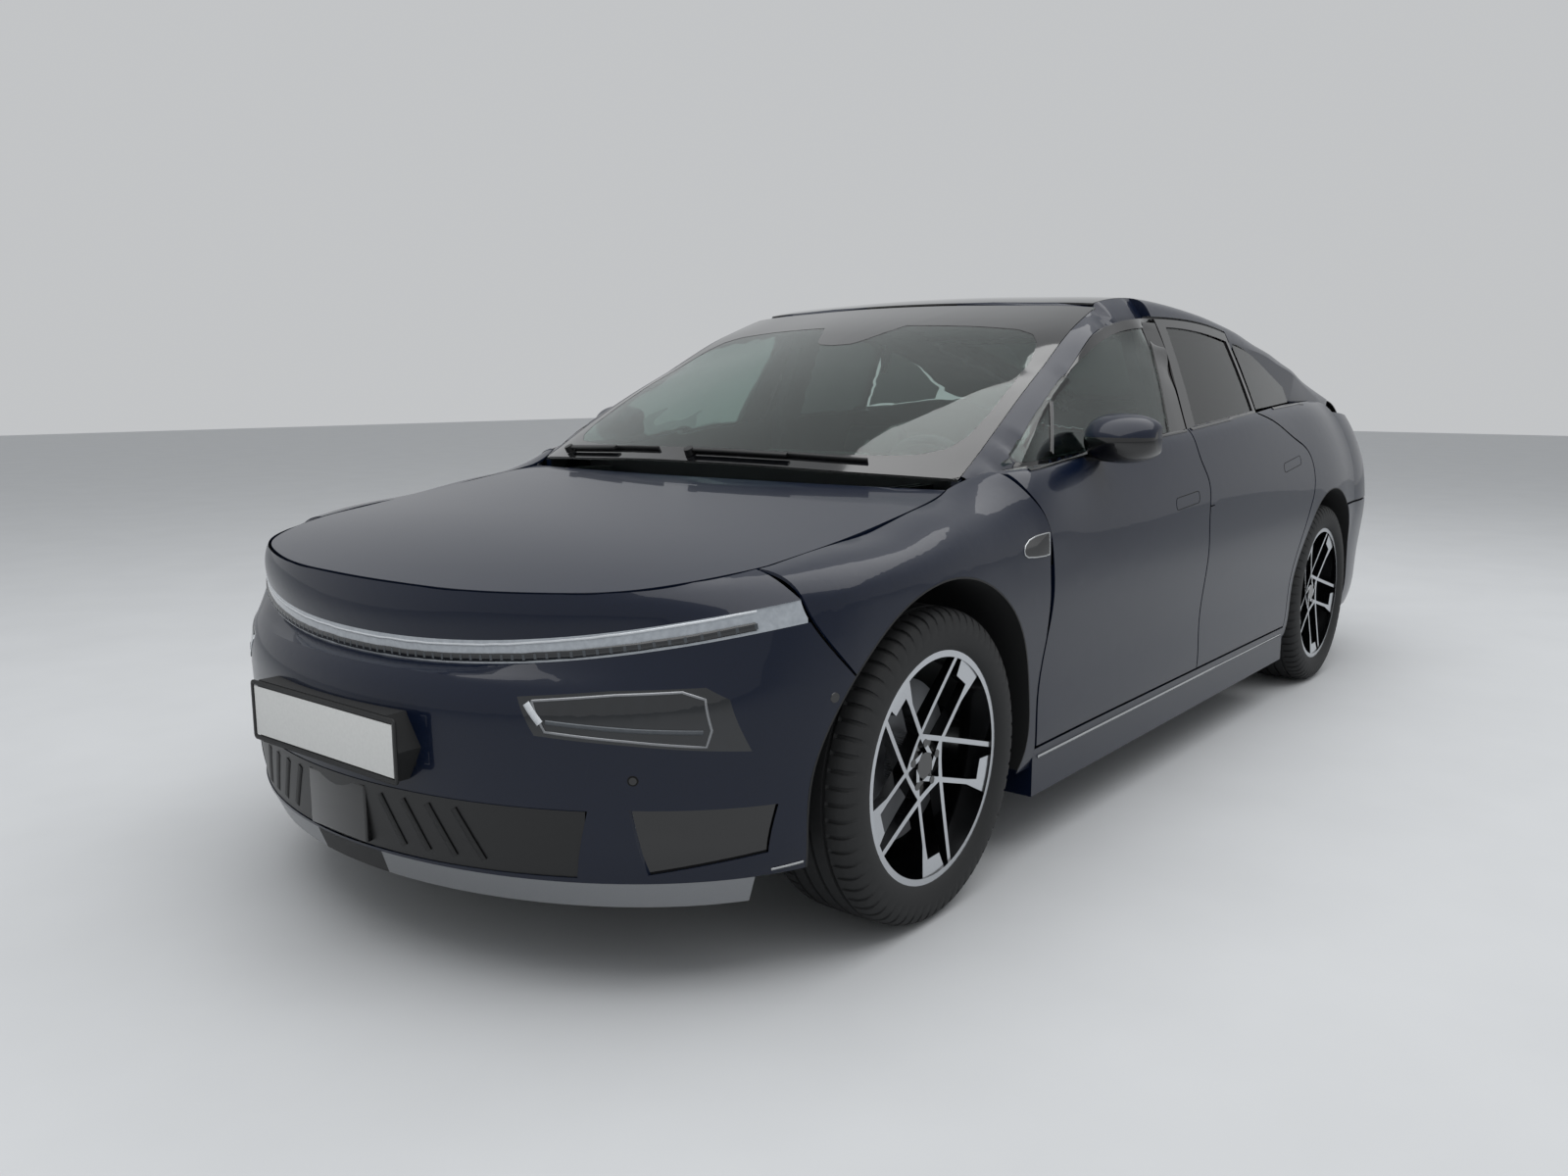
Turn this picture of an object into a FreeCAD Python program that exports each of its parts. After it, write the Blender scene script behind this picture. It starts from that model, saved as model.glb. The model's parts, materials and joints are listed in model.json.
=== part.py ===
import FreeCAD, Part
import math
import os

# A full-size four-door fastback saloon, in millimetres.
# X points forward, Y to the left and Z up, and the origin is on the ground under the middle of the car.
# The body is hollow. Its outer skin is described once, by a few smooth lines given as shares
# of the driving dimensions, and each panel is a slab of that skin cut along its shut lines.

os.makedirs("parts", exist_ok=True)

# Driving dimensions of the whole car
WHEELBASE = 3000.0
FRONT_OVERHANG = 925.0
REAR_OVERHANG = 1131.0
WIDTH = 1937.0
HEIGHT = 1512.0
LENGTH = FRONT_OVERHANG + WHEELBASE + REAR_OVERHANG
HALF_WIDTH = WIDTH / 2
FRONT_AXLE_X = LENGTH / 2 - FRONT_OVERHANG
REAR_AXLE_X = FRONT_AXLE_X - WHEELBASE

# Wheels and tyres
TYRE_RADIUS = 364.0
TYRE_WIDTH = 245.0
TYRE_BEAD_RADIUS = 262.0
TYRE_SHOULDER = 22.0
RIM_RADIUS = 270.0
RIM_WALL = 9.0
RIM_LIP = 8.0
WHEEL_INSET = 22.0
WHEEL_FACE_DEPTH = 34.0
WHEEL_DISH = 26.0
HUB_RADIUS = 66.0
CAP_RADIUS = 30.0
HUB_DROP = 10.0
DISC_RADIUS = 190.0
DISC_THICKNESS = 30.0
HUB_BACK = -20.0
SPINDLE_RADIUS = 20.0
SPINDLE_LENGTH = 45.0
ARCH_RADIUS = 436.0

# Sheet, glass and wall thicknesses, and the gaps between panels
SKIN = 6.0
PILLAR_DEPTH = 42.0
FRAME_DEPTH = 20.0
FRAME_LIP = 7.0
FRAME_STEP = 10.0
FRAME_CLEAR = 4.0
DOOR_DEPTH = 120.0
DOOR_FLANGE = 26.0
DOOR_INSET = 40.0
GLASS = 5.0
SHUT_GAP = 8.0
RUNNING_GAP = 0.3
SWEEP_CLEARANCE = 30.0
CUT = 2 * WIDTH

# The floor, battery and rocker
GROUND_CLEARANCE = 142.0
BATTERY_HEIGHT = 122.0
BATTERY_WIDTH = 1330.0
FLOOR_THICKNESS = 12.0
ROCKER_WIDTH = 150.0
ROCKER_HEIGHT = 118.0

V = FreeCAD.Vector


# Helpers for places, curves and solids

def along(share):
    """X of a share: -1 at the nose, 0 and 1 at the axles, 2 at the tail."""
    if share < 0:
        return FRONT_AXLE_X - share * FRONT_OVERHANG
    if share <= 1:
        return FRONT_AXLE_X - share * WHEELBASE
    return REAR_AXLE_X - (share - 1) * REAR_OVERHANG


def share_of(x):
    """The inverse of along()."""
    if x > FRONT_AXLE_X:
        return (FRONT_AXLE_X - x) / FRONT_OVERHANG
    if x >= REAR_AXLE_X:
        return (FRONT_AXLE_X - x) / WHEELBASE
    return 1 + (REAR_AXLE_X - x) / REAR_OVERHANG


def smooth(pairs):
    """A smooth function through (place, value) pairs, straight beyond its ends."""
    places = [pair[0] for pair in pairs]
    values = [pair[1] for pair in pairs]
    rises = []
    for i in range(len(places) - 1):
        rises.append((values[i + 1] - values[i]) / (places[i + 1] - places[i]))
    slopes = [rises[0]]
    for i in range(1, len(rises)):
        before = places[i] - places[i - 1]
        after = places[i + 1] - places[i]
        slopes.append((rises[i - 1] * after + rises[i] * before) / (before + after))
    slopes.append(rises[-1])

    def value_at(place):
        if place <= places[0]:
            return values[0] + slopes[0] * (place - places[0])
        if place >= places[-1]:
            return values[-1] + slopes[-1] * (place - places[-1])
        i = 0
        while places[i + 1] < place:
            i += 1
        step = places[i + 1] - places[i]
        t = (place - places[i]) / step
        return (values[i] * (1 + 2 * t) * (1 - t) ** 2 + values[i + 1] * t * t * (3 - 2 * t)
                + step * slopes[i] * t * (1 - t) ** 2 - step * slopes[i + 1] * t * t * (1 - t))
    return value_at


def spline(points):
    """One edge: straight through two points, else a smooth curve through them all."""
    if len(points) == 2:
        return Part.makeLine(points[0], points[1])
    curve = Part.BSplineCurve()
    curve.interpolate(points)
    return curve.toShape()


def solid_of(shape):
    """Turn an inside-out solid the right way round."""
    if shape.Volume < 0:
        shape.reverse()
    return shape


def slab_section(outer, inner):
    """A closed section wire between two runs of points."""
    back = list(reversed(inner))
    return Part.Wire([spline(outer), Part.makeLine(outer[-1], back[0]), spline(back),
                      Part.makeLine(back[-1], outer[0])])


def loft(wires, ruled=False):
    return solid_of(Part.makeLoft(wires, True, ruled))


def inward(points, depths, closed_normal=1):
    """Points moved inward, square to their run, in the plane across the car."""
    moved = []
    last = len(points) - 1
    for i, point in enumerate(points):
        before = points[max(i - 1, 0)]
        after = points[min(i + 1, last)]
        run_y = after.y - before.y
        run_z = after.z - before.z
        size = math.hypot(run_y, run_z)
        depth = depths[i] * closed_normal / size
        moved.append(V(point.x, point.y - run_z * depth, point.z + run_y * depth))
    return moved


def box(x0, x1, y0, y1, z0, z1):
    corner = V(min(x0, x1), min(y0, y1), min(z0, z1))
    return Part.makeBox(abs(x1 - x0), abs(y1 - y0), abs(z1 - z0), corner)


def rounded_box(x0, x1, y0, y1, z0, z1, radius):
    block = box(x0, x1, y0, y1, z0, z1)
    return block.makeFillet(radius, block.Edges)


def rod(start, end, radius):
    run = end - start
    return Part.makeCylinder(radius, run.Length, start, run)


def mirrored(shape):
    return shape.mirror(V(0, 0, 0), V(0, 1, 0))


def both(shape):
    return shape.fuse(mirrored(shape))


def joined(shapes):
    return shapes[0].fuse(shapes[1:]).removeSplitter()


def cut(shape, tools):
    for tool in tools:
        shape = shape.cut(tool)
    return shape


def largest(shape):
    """The main solid of a cut shape."""
    solids = sorted(shape.Solids, key=lambda solid: -solid.Volume)
    return solids[0]


def closed_wire(runs):
    """A closed outline from runs of points, each run starting where the last one ended."""
    return Part.Wire([spline(run) for run in runs])


def side_points(shares):
    """Points in the side view from (along, height) shares."""
    return [V(along(place), 0, height * HEIGHT) for place, height in shares]


def plan_points(shares, side=1):
    """Points in the plan view from (along, half-width) shares."""
    return [V(along(place), side * across * HALF_WIDTH, 0) for place, across in shares]


def side_prism(runs):
    """Everything on the left of the car inside a side-view outline."""
    return Part.Face(closed_wire(runs)).extrude(V(0, CUT, 0))


def side_prism_through(runs):
    """Everything on both sides of the car inside a side-view outline."""
    prism = side_prism(runs)
    prism.translate(V(0, -CUT / 2, 0))
    return prism


def plan_prism(runs):
    """Everything above the ground inside a plan-view outline."""
    return Part.Face(closed_wire(runs)).extrude(V(0, 0, CUT))


def crossing(a, b, c, d):
    """Where the line through a and b meets the line through c and d, in the XZ plane."""
    run_x, run_z = b.x - a.x, b.z - a.z
    other_x, other_z = d.x - c.x, d.z - c.z
    size = run_x * other_z - run_z * other_x
    part = ((c.x - a.x) * other_z - (c.z - a.z) * other_x) / size
    return V(a.x + part * run_x, 0, a.z + part * run_z)


def grown(runs, distance):
    """A side-view outline moved outward, or inward where the distance is negative."""
    area = 0
    for run in runs:
        for a, b in zip(run, run[1:]):
            area += a.x * b.z - b.x * a.z
    distance = math.copysign(1, area) * distance
    moved = []
    for run in runs:
        shifted = []
        for i, point in enumerate(run):
            before = run[max(i - 1, 0)]
            after = run[min(i + 1, len(run) - 1)]
            run_x, run_z = after.x - before.x, after.z - before.z
            size = math.hypot(run_x, run_z)
            shifted.append(V(point.x + distance * run_z / size, 0, point.z - distance * run_x / size))
        moved.append(shifted)
    for i, run in enumerate(moved):
        last = moved[i - 1]
        corner = crossing(last[-2], last[-1], run[0], run[1])
        last[-1] = corner
        run[0] = corner
    return moved


# The body side, as seen from ahead: half-width at each height, then a rounded shoulder
side_width_shares = ((0.13, 0.935), (0.165, 0.955), (0.198, 0.970), (0.298, 0.979), (0.397, 0.993),
                     (0.463, 1.0), (0.516, 0.996))
side_taper_shares = ((-0.6, -0.028), (-0.27, -0.012), (0.0, 0.0), (0.1, -0.006), (0.233, -0.010),
                     (0.5, -0.008), (0.833, -0.004), (1.0, 0.0), (1.354, -0.024))
SHOULDER_START_SHARE = 0.516
shoulder_round_shares = ((-0.6, 2.3), (0.1, 2.3), (0.25, 1.7), (0.6, 1.6), (1.4, 1.6), (1.9, 1.8))

# The shoulder: where the body side ends and the bonnet, glass or boot begins
shoulder_width_shares = ((-0.66, 0.690), (-0.454, 0.790), (-0.216, 0.805), (0.017, 0.800), (0.083, 0.790),
                         (0.115, 0.800), (0.146, 0.859), (0.277, 0.890), (0.442, 0.909), (0.521, 0.909),
                         (0.761, 0.890), (0.897, 0.857), (1.088, 0.820), (1.354, 0.788), (1.531, 0.771), (1.92, 0.740))
belt_height_shares = ((0.067, 0.658), (0.146, 0.665), (0.277, 0.681), (0.442, 0.705), (0.521, 0.712),
                      (0.761, 0.737), (0.897, 0.751), (1.088, 0.757), (1.531, 0.748), (1.884, 0.736))
cabin_base_shares = ((0.05, 0.55), (0.15, 0.615), (0.277, 0.650), (0.521, 0.684), (0.761, 0.709),
                     (1.088, 0.729), (1.531, 0.715), (1.884, 0.690))

# The middle line of the bonnet, and of the screen, roof and tailgate
bonnet_line_shares = ((-0.919, 0.533), (-0.805, 0.550), (-0.649, 0.570), (-0.432, 0.591), (-0.216, 0.608),
                      (0.0, 0.626), (0.067, 0.645), (0.114, 0.659), (0.140, 0.668))
BONNET_CROWN_SHARE = 0.021
roof_line_shares = ((0.050, 0.651), (0.067, 0.668), (0.133, 0.739), (0.200, 0.806), (0.267, 0.865),
                    (0.333, 0.917), (0.400, 0.959), (0.450, 0.985), (0.500, 0.998), (0.567, 1.0),
                    (0.633, 0.994), (0.733, 0.974), (0.817, 0.950), (0.933, 0.906), (1.177, 0.847),
                    (1.531, 0.790), (1.796, 0.754), (1.893, 0.744))
ROOF_CROWN_SHARE = 0.017
SCREEN_BOW_SHARE = 0.040
SIDE_GLASS_LEAN = 0.36
BELT_LEDGE = 2.5
SIDE_GLASS_RADIUS = 2500.0
CANTRAIL_RADIUS = 60.0

# The plan of the nose and tail, each wrapped round an upright line on the middle of the car
NOSE_CENTRE_SHARE = -0.27
TAIL_CENTRE_SHARE = 1.354
TAIL_SQUARENESS = 2.8
nose_reach_shares = ((0.16, 0.985), (0.218, 0.995), (0.284, 0.998), (0.350, 1.0), (0.397, 0.993),
                     (0.4286, 0.965), (0.513, 0.921), (0.540, 0.919), (0.60, 0.90))
tail_reach_shares = ((0.165, 1.935), (0.26, 1.98), (0.344, 2.0), (0.46, 1.998), (0.53, 1.978), (0.60, 1.955),
                     (0.66, 1.935), (0.74, 1.90))

side_width = smooth(side_width_shares)
side_taper = smooth(side_taper_shares)
shoulder_round = smooth(shoulder_round_shares)
shoulder_width = smooth(shoulder_width_shares)
belt_height = smooth(belt_height_shares)
bonnet_line = smooth(bonnet_line_shares)
roof_line = smooth(roof_line_shares)
cabin_base = smooth(cabin_base_shares)
nose_reach = smooth(nose_reach_shares)
tail_reach = smooth(tail_reach_shares)

NOSE_CENTRE_X = along(NOSE_CENTRE_SHARE)
TAIL_CENTRE_X = along(TAIL_CENTRE_SHARE)
COWL_SHARE = 0.114


def bonnet_height(x, y):
    crown = BONNET_CROWN_SHARE * (y / HALF_WIDTH) ** 2 / 0.66
    return HEIGHT * (bonnet_line(share_of(x)) - crown)


def roof_height(x, y):
    """The screen, roof and rear glass as one surface, bowed and crowned across the car."""
    across = (y / HALF_WIDTH) ** 2 / 0.52
    bow = SCREEN_BOW_SHARE * WHEELBASE * across
    crown = ROOF_CROWN_SHARE * across
    if share_of(x) > 0.5:
        bow = 0
    elif share_of(x) > 0.3:
        bow = bow * (0.5 - share_of(x)) / 0.2
    return HEIGHT * (roof_line(share_of(x + bow)) - crown)


def shoulder_height(x):
    share = share_of(x)
    if share <= 0.083:
        return bonnet_height(x, shoulder_width(share) * HALF_WIDTH)
    belt = belt_height(share) * HEIGHT
    if share >= 0.146:
        return belt
    bonnet = bonnet_height(along(0.083), shoulder_width(0.083) * HALF_WIDTH)
    blend = (share - 0.083) / (0.146 - 0.083)
    return bonnet * (1 - blend) + belt_height(0.146) * HEIGHT * blend


def plan_factor(x, z):
    """How far the plan is pulled in beyond the nose and tail centres."""
    if x > NOSE_CENTRE_X:
        reach = along(-nose_reach(z / HEIGHT)) - NOSE_CENTRE_X
        return math.sqrt(max(0, 1 - ((x - NOSE_CENTRE_X) / reach) ** 2))
    if x < TAIL_CENTRE_X:
        reach = TAIL_CENTRE_X - along(tail_reach(z / HEIGHT))
        return max(0, 1 - ((TAIL_CENTRE_X - x) / reach) ** TAIL_SQUARENESS) ** (1 / TAIL_SQUARENESS)
    return 1.0


def side_y(x, z):
    """Half-width of the body side below its shoulder."""
    share = min(max(share_of(x), NOSE_CENTRE_SHARE), TAIL_CENTRE_SHARE)
    width = HALF_WIDTH * (side_width(z / HEIGHT) + side_taper(share))
    return width * plan_factor(x, z)


def side_run(x, low, turns=5):
    """Points up the body side at x, from a height to the shoulder."""
    share = share_of(x)
    start = SHOULDER_START_SHARE * HEIGHT
    top_y = shoulder_width(share) * HALF_WIDTH + BELT_LEDGE
    top_z = shoulder_height(x)
    levels = [low] + [level * HEIGHT for level in (0.198, 0.298, 0.397, 0.463) if level * HEIGHT > low * 1.05]
    points = [V(x, side_y(x, z), z) for z in levels]
    corner_y = side_y(x, start)
    power = 2 / shoulder_round(share)
    for i in range(turns + 1):
        angle = math.pi / 2 * i / turns
        points.append(V(x, top_y + (corner_y - top_y) * math.cos(angle) ** power,
                        start + (top_z - start) * math.sin(angle) ** power))
    return points


def side_slab(shares, low, depth):
    """A slab of the left body side between stations, from a height to the shoulder."""
    sections = []
    for share in shares:
        outer = side_run(along(share), low)
        inner = inward(outer, [depth] * len(outer))
        sections.append(slab_section(outer, inner))
    return loft(sections)


def glass_y(x, z):
    """Half-width of the side glass plane."""
    share = share_of(x)
    rise = z - belt_height(share) * HEIGHT
    lean = rise * SIDE_GLASS_LEAN
    bulge = max(rise, 0) ** 2 / (2 * SIDE_GLASS_RADIUS)
    return shoulder_width(max(share, 0.146)) * HALF_WIDTH - lean - bulge


def cantrail_height(x):
    """Height at which the side glass plane meets the roof surface."""
    low = cabin_base(share_of(x)) * HEIGHT
    high = HEIGHT
    for _ in range(40):
        middle = (low + high) / 2
        if roof_height(x, glass_y(x, middle)) > middle:
            low = middle
        else:
            high = middle
    return low


def cabin_run(x, inset):
    """Points over the cabin at x, from the left belt to the right one, moved in by an inset."""
    meet_z = cantrail_height(x)
    base_z = cabin_base(share_of(x)) * HEIGHT
    top_z = max(meet_z - CANTRAIL_RADIUS, base_z + (meet_z - base_z) * 0.5)
    meet_y = glass_y(x, meet_z)
    half = [V(x, glass_y(x, z), z) for z in (base_z, base_z + (top_z - base_z) / 3,
                                             base_z + (top_z - base_z) * 2 / 3, top_z)]
    radius = meet_z - top_z
    half.append(V(x, meet_y - radius * 0.10, meet_z - radius * 0.16))
    for fraction in (0.0, 0.33, 0.66):
        y = (meet_y - radius) * (1 - fraction)
        half.append(V(x, y, roof_height(x, y)))
    other = [V(p.x, -p.y, p.z) for p in reversed(half)]
    run = half + [V(x, 0, roof_height(x, 0))] + other
    if inset:
        run = inward(run, [inset] * len(run))
    return run


def cabin_slab(shares, inset, depth, left_only=False):
    """A slab over the cabin, or over its left side only, from an inset down to a depth."""
    sections = []
    for share in shares:
        outer = cabin_run(along(share), inset)
        if left_only:
            outer = outer[:len(outer) // 2]
        inner = inward(outer, [depth] * len(outer))
        sections.append(slab_section(outer, inner))
    return loft(sections)


# Shut lines and window outlines of the left side, as (along, height) shares
front_shut_shares = ((0.163, 0.195), (0.164, 0.397), (0.163, 0.562), (0.154, 0.602), (0.143, 0.638),
                     (0.141, 0.661))
front_frame_shares = ((0.141, 0.661), (0.197, 0.738), (0.262, 0.804), (0.336, 0.870), (0.388, 0.906),
                      (0.440, 0.929), (0.538, 0.944))
middle_shut_shares = ((0.538, 0.944), (0.530, 0.820), (0.520, 0.710), (0.525, 0.645), (0.537, 0.603),
                      (0.535, 0.542), (0.532, 0.460), (0.541, 0.195))
rear_frame_shares = ((0.538, 0.944), (0.601, 0.946), (0.680, 0.941), (0.748, 0.926))
rear_shut_shares = ((0.748, 0.926), (0.754, 0.830), (0.761, 0.735))
rear_haunch_shares = ((0.761, 0.735), (0.812, 0.707), (0.869, 0.665), (0.912, 0.620), (0.916, 0.557),
                      (0.903, 0.509))
rear_arch_shares = ((0.903, 0.509), (0.862, 0.400), (0.843, 0.195))
front_glass_shares = (((0.158, 0.675), (0.197, 0.720), (0.262, 0.785), (0.336, 0.850), (0.388, 0.886),
                       (0.438, 0.908), (0.511, 0.921)),
                      ((0.511, 0.921), (0.473, 0.708)),
                      ((0.473, 0.708), (0.274, 0.682), (0.158, 0.675)))
rear_glass_shares = (((0.563, 0.926), (0.601, 0.926), (0.700, 0.914), (0.740, 0.904)),
                     ((0.740, 0.904), (0.749, 0.742)),
                     ((0.749, 0.742), (0.546, 0.718)),
                     ((0.546, 0.718), (0.563, 0.926)))
quarter_glass_shares = (((0.763, 0.900), (0.812, 0.885), (0.907, 0.816), (0.935, 0.795)),
                        ((0.935, 0.795), (0.935, 0.757)),
                        ((0.935, 0.757), (0.770, 0.744)),
                        ((0.770, 0.744), (0.763, 0.900)))


def side_outline(share_runs):
    return [side_points(run) for run in share_runs]


front_door_line = side_outline((front_shut_shares, front_frame_shares, middle_shut_shares,
                                (middle_shut_shares[-1], front_shut_shares[0])))
rear_door_line = side_outline((tuple(reversed(middle_shut_shares)), rear_frame_shares, rear_shut_shares,
                               rear_haunch_shares, rear_arch_shares,
                               (rear_arch_shares[-1], middle_shut_shares[-1])))
front_glass_line = side_outline(front_glass_shares)
rear_glass_line = side_outline(rear_glass_shares)
quarter_glass_line = side_outline(quarter_glass_shares)

SIDE_STATIONS = (-0.60, -0.50, -0.40, -0.27, -0.10, 0.03, 0.083, 0.115, 0.146, 0.20, 0.277, 0.40, 0.521,
                 0.65, 0.761, 0.897, 1.0, 1.15, 1.354, 1.60)
CABIN_STATIONS = (0.06, 0.09, 0.12, 0.16, 0.20, 0.25, 0.30, 0.35, 0.40, 0.45, 0.50, 0.60, 0.70, 0.80,
                  0.93, 1.10, 1.30, 1.50, 1.70, 1.92)
SILL_SHARE = 0.158


def between(stations, low, high):
    """The stations of a run that reaches just past two shares."""
    inside = [share for share in stations if low < share < high]
    return [low] + inside + [high]


def arch_cut(axle_x, radius):
    return Part.makeCylinder(radius, CUT, V(axle_x, 0, TYRE_RADIUS), V(0, 1, 0))


# Doors: a flanged skin, a deep inner box, a slim window frame and the hinge pins
HINGE_SETBACK = 40.0
HINGE_DEPTH = 18.0
HINGE_PIN_RADIUS = 4.0
HINGE_EYE_RADIUS = 8.0
HINGE_HEIGHT = 50.0
HINGE_POCKET = 11.0
HINGE_SHARES = (0.42, 0.53)


def hinge_axis(shut_x):
    """Place of a door's upright hinge line, behind its leading shut line."""
    x = shut_x - HINGE_SETBACK
    return V(x, HALF_WIDTH * (1 + side_taper(share_of(x))) - HINGE_DEPTH, 0)


front_hinge = hinge_axis(along(front_shut_shares[1][0]))
rear_hinge = hinge_axis(along(middle_shut_shares[-2][0]))


def door_box(stations):
    """The deep inner part of a door, inset from the shut line all round."""
    sections = []
    for share in stations:
        outer = side_run(along(share), SILL_SHARE * HEIGHT)
        outer = inward(outer, [DOOR_FLANGE / 2] * len(outer))
        floor = V(outer[0].x, HALF_WIDTH - DOOR_DEPTH, outer[0].z)
        belt = outer[-1]
        inner = [floor, V(belt.x, HALF_WIDTH - DOOR_DEPTH, SHOULDER_START_SHARE * HEIGHT),
                 V(belt.x, belt.y - DOOR_DEPTH / 2, belt.z)]
        back = list(reversed(inner))
        sections.append(Part.Wire([spline(outer), Part.makeLine(outer[-1], back[0]),
                                   Part.makeLine(back[0], back[1]), Part.makeLine(back[1], back[2]),
                                   Part.makeLine(back[2], outer[0])]))
    return loft(sections)


def door_pins(axis):
    pins = []
    for share in HINGE_SHARES:
        middle = share * HEIGHT
        pins.append(Part.makeCylinder(HINGE_PIN_RADIUS, 2 * HINGE_HEIGHT,
                                      V(axis.x, axis.y, middle - HINGE_HEIGHT)))
    return pins


def hinge_pockets(axis):
    """Room in the door for the body's hinge arms, open ahead and inside."""
    pockets = []
    for share in HINGE_SHARES:
        middle = share * HEIGHT
        pockets.append(box(axis.x - HINGE_POCKET, axis.x + 2 * HINGE_SETBACK, 0, axis.y + HINGE_POCKET,
                           middle - HINGE_HEIGHT / 2 - SHUT_GAP, middle + HINGE_HEIGHT / 2 + SHUT_GAP))
    return pockets


def hinge_arms(axis, root_y, ahead):
    """The body's arms, each an eye round the door's pin on a plate from the pillar."""
    arms = []
    for share in HINGE_SHARES:
        low = share * HEIGHT - HINGE_HEIGHT / 2
        eye = Part.makeCylinder(HINGE_EYE_RADIUS, HINGE_HEIGHT, V(axis.x, axis.y, low))
        plate = box(axis.x - HINGE_EYE_RADIUS, axis.x + HINGE_EYE_RADIUS, root_y, axis.y,
                    low, low + HINGE_HEIGHT)
        foot = box(axis.x, axis.x + ahead, root_y, root_y + HINGE_EYE_RADIUS, low, low + HINGE_HEIGHT)
        bore = Part.makeCylinder(HINGE_PIN_RADIUS + RUNNING_GAP, HINGE_HEIGHT, V(axis.x, axis.y, low))
        arms.append(eye.fuse([plate, foot]).cut(bore))
    return arms


def outboard(offset):
    """Everything outside the edge where the side glass meets the roof, moved out by an offset."""
    shares = (0.10, 0.16, 0.22, 0.28, 0.35, 0.43, 0.52, 0.62, 0.72, 0.80)
    edge = []
    for share in shares:
        x = along(share)
        edge.append(V(x, glass_y(x, cantrail_height(x)) + offset, 0))
    front, back = V(edge[0].x, CUT, 0), V(edge[-1].x, CUT, 0)
    return plan_prism([edge, [edge[-1], back], [back, front], [front, edge[0]]])


LOST_SHARE = 0.001


def welded(first, others):
    """One solid of several, joined in one go, or step by step where that would drop a piece."""
    whole = first.fuse(others)
    stepped = first
    for piece in others:
        stepped = stepped.fuse(piece)
    if stepped.Volume > whole.Volume * (1 + LOST_SHARE):
        return stepped
    return whole


def door(line, core, window, low, high, axis):
    """A left door with its window cut, in the closed place."""
    edge = side_prism(grown(line, -SHUT_GAP / 2))
    inner_edge = side_prism(grown(line, -SHUT_GAP / 2 - FRAME_STEP))
    side_stations = between(SIDE_STATIONS, low, high)
    cabin_stations = between(CABIN_STATIONS, low, high)
    panel = side_slab(side_stations, SILL_SHARE * HEIGHT, DOOR_FLANGE).common(edge)
    deep = door_box(side_stations).common(core)
    outside = outboard(FRAME_CLEAR)
    lip = cabin_slab(cabin_stations, 0, FRAME_LIP, True).common(edge).common(outside)
    frame = cabin_slab(cabin_stations, FRAME_LIP / 2, FRAME_DEPTH, True).common(inner_edge).common(outside)
    whole = cut(welded(panel, [deep, lip, frame]), [side_prism(window)] + hinge_pockets(axis))
    whole = whole.fuse(door_pins(axis))
    return largest(whole)


FRONT_DOOR_SPAN = (0.12, 0.57)
REAR_DOOR_SPAN = (0.49, 0.96)
DOOR_FRONT_X = along(front_shut_shares[0][0])
DOOR_LOW = front_shut_shares[0][1] * HEIGHT
BELT_TOP = 0.76 * HEIGHT


def front_door():
    core = box(DOOR_FRONT_X - DOOR_INSET, along(0.520) + DOOR_INSET, 0, CUT, DOOR_LOW + DOOR_INSET, BELT_TOP)
    return door(front_door_line, core, front_glass_line, *FRONT_DOOR_SPAN, front_hinge)


def rear_door():
    pillar_room = box(along(PILLAR_LEAN_SHARES[0][1]) - MIDDLE_PILLAR_LENGTH / 2 - SHUT_GAP, LENGTH, 0, CUT, 0,
                      HEIGHT)
    core = side_prism(grown(rear_door_line, -DOOR_INSET)).cut(pillar_room)
    return door(rear_door_line, core, rear_glass_line, *REAR_DOOR_SPAN, rear_hinge)


def side_glass(window, low, high):
    """A pane in its window, with the window's own outline."""
    pane = cabin_slab(between(CABIN_STATIONS, low, high), GLASS, GLASS, True)
    return largest(pane.common(side_prism(window)))


# Plan outlines on the bonnet, roof and tailgate, as (along, half-width) shares of the left half
bonnet_front_shares = ((-0.903, 0.0), (-0.899, 0.124), (-0.881, 0.299), (-0.816, 0.516), (-0.735, 0.661),
                       (-0.605, 0.759), (-0.454, 0.816))
bonnet_side_shares = ((-0.454, 0.816), (-0.216, 0.829), (0.017, 0.824), (0.083, 0.805), (0.105, 0.787))
bonnet_rear_shares = ((0.105, 0.787), (0.072, 0.450), (0.056, 0.0))
screen_base_shares = ((0.066, 0.0), (0.082, 0.450), (0.117, 0.790))
screen_side_shares = ((0.117, 0.790), (0.187, 0.776), (0.283, 0.742), (0.387, 0.705), (0.438, 0.690))
screen_top_shares = ((0.438, 0.690), (0.428, 0.350), (0.424, 0.0))
roof_front_shares = ((0.437, 0.0), (0.441, 0.350), (0.452, 0.660))
roof_side_shares = ((0.452, 0.660), (0.600, 0.668), (0.780, 0.600))
roof_rear_shares = ((0.780, 0.600), (0.785, 0.300), (0.786, 0.0))
gate_front_shares = ((0.815, 0.0), (0.812, 0.300), (0.806, 0.610))
gate_side_shares = ((0.806, 0.610), (0.950, 0.655), (1.300, 0.665), (1.700, 0.640), (2.10, 0.610))
gate_rear_shares = ((2.10, 0.610), (2.10, 0.0))
rear_screen_front_shares = ((0.845, 0.0), (0.842, 0.300), (0.838, 0.560))
rear_screen_side_shares = ((0.838, 0.560), (0.950, 0.600), (1.300, 0.608), (1.640, 0.585))
rear_screen_rear_shares = ((1.640, 0.585), (1.665, 0.300), (1.670, 0.0))


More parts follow.
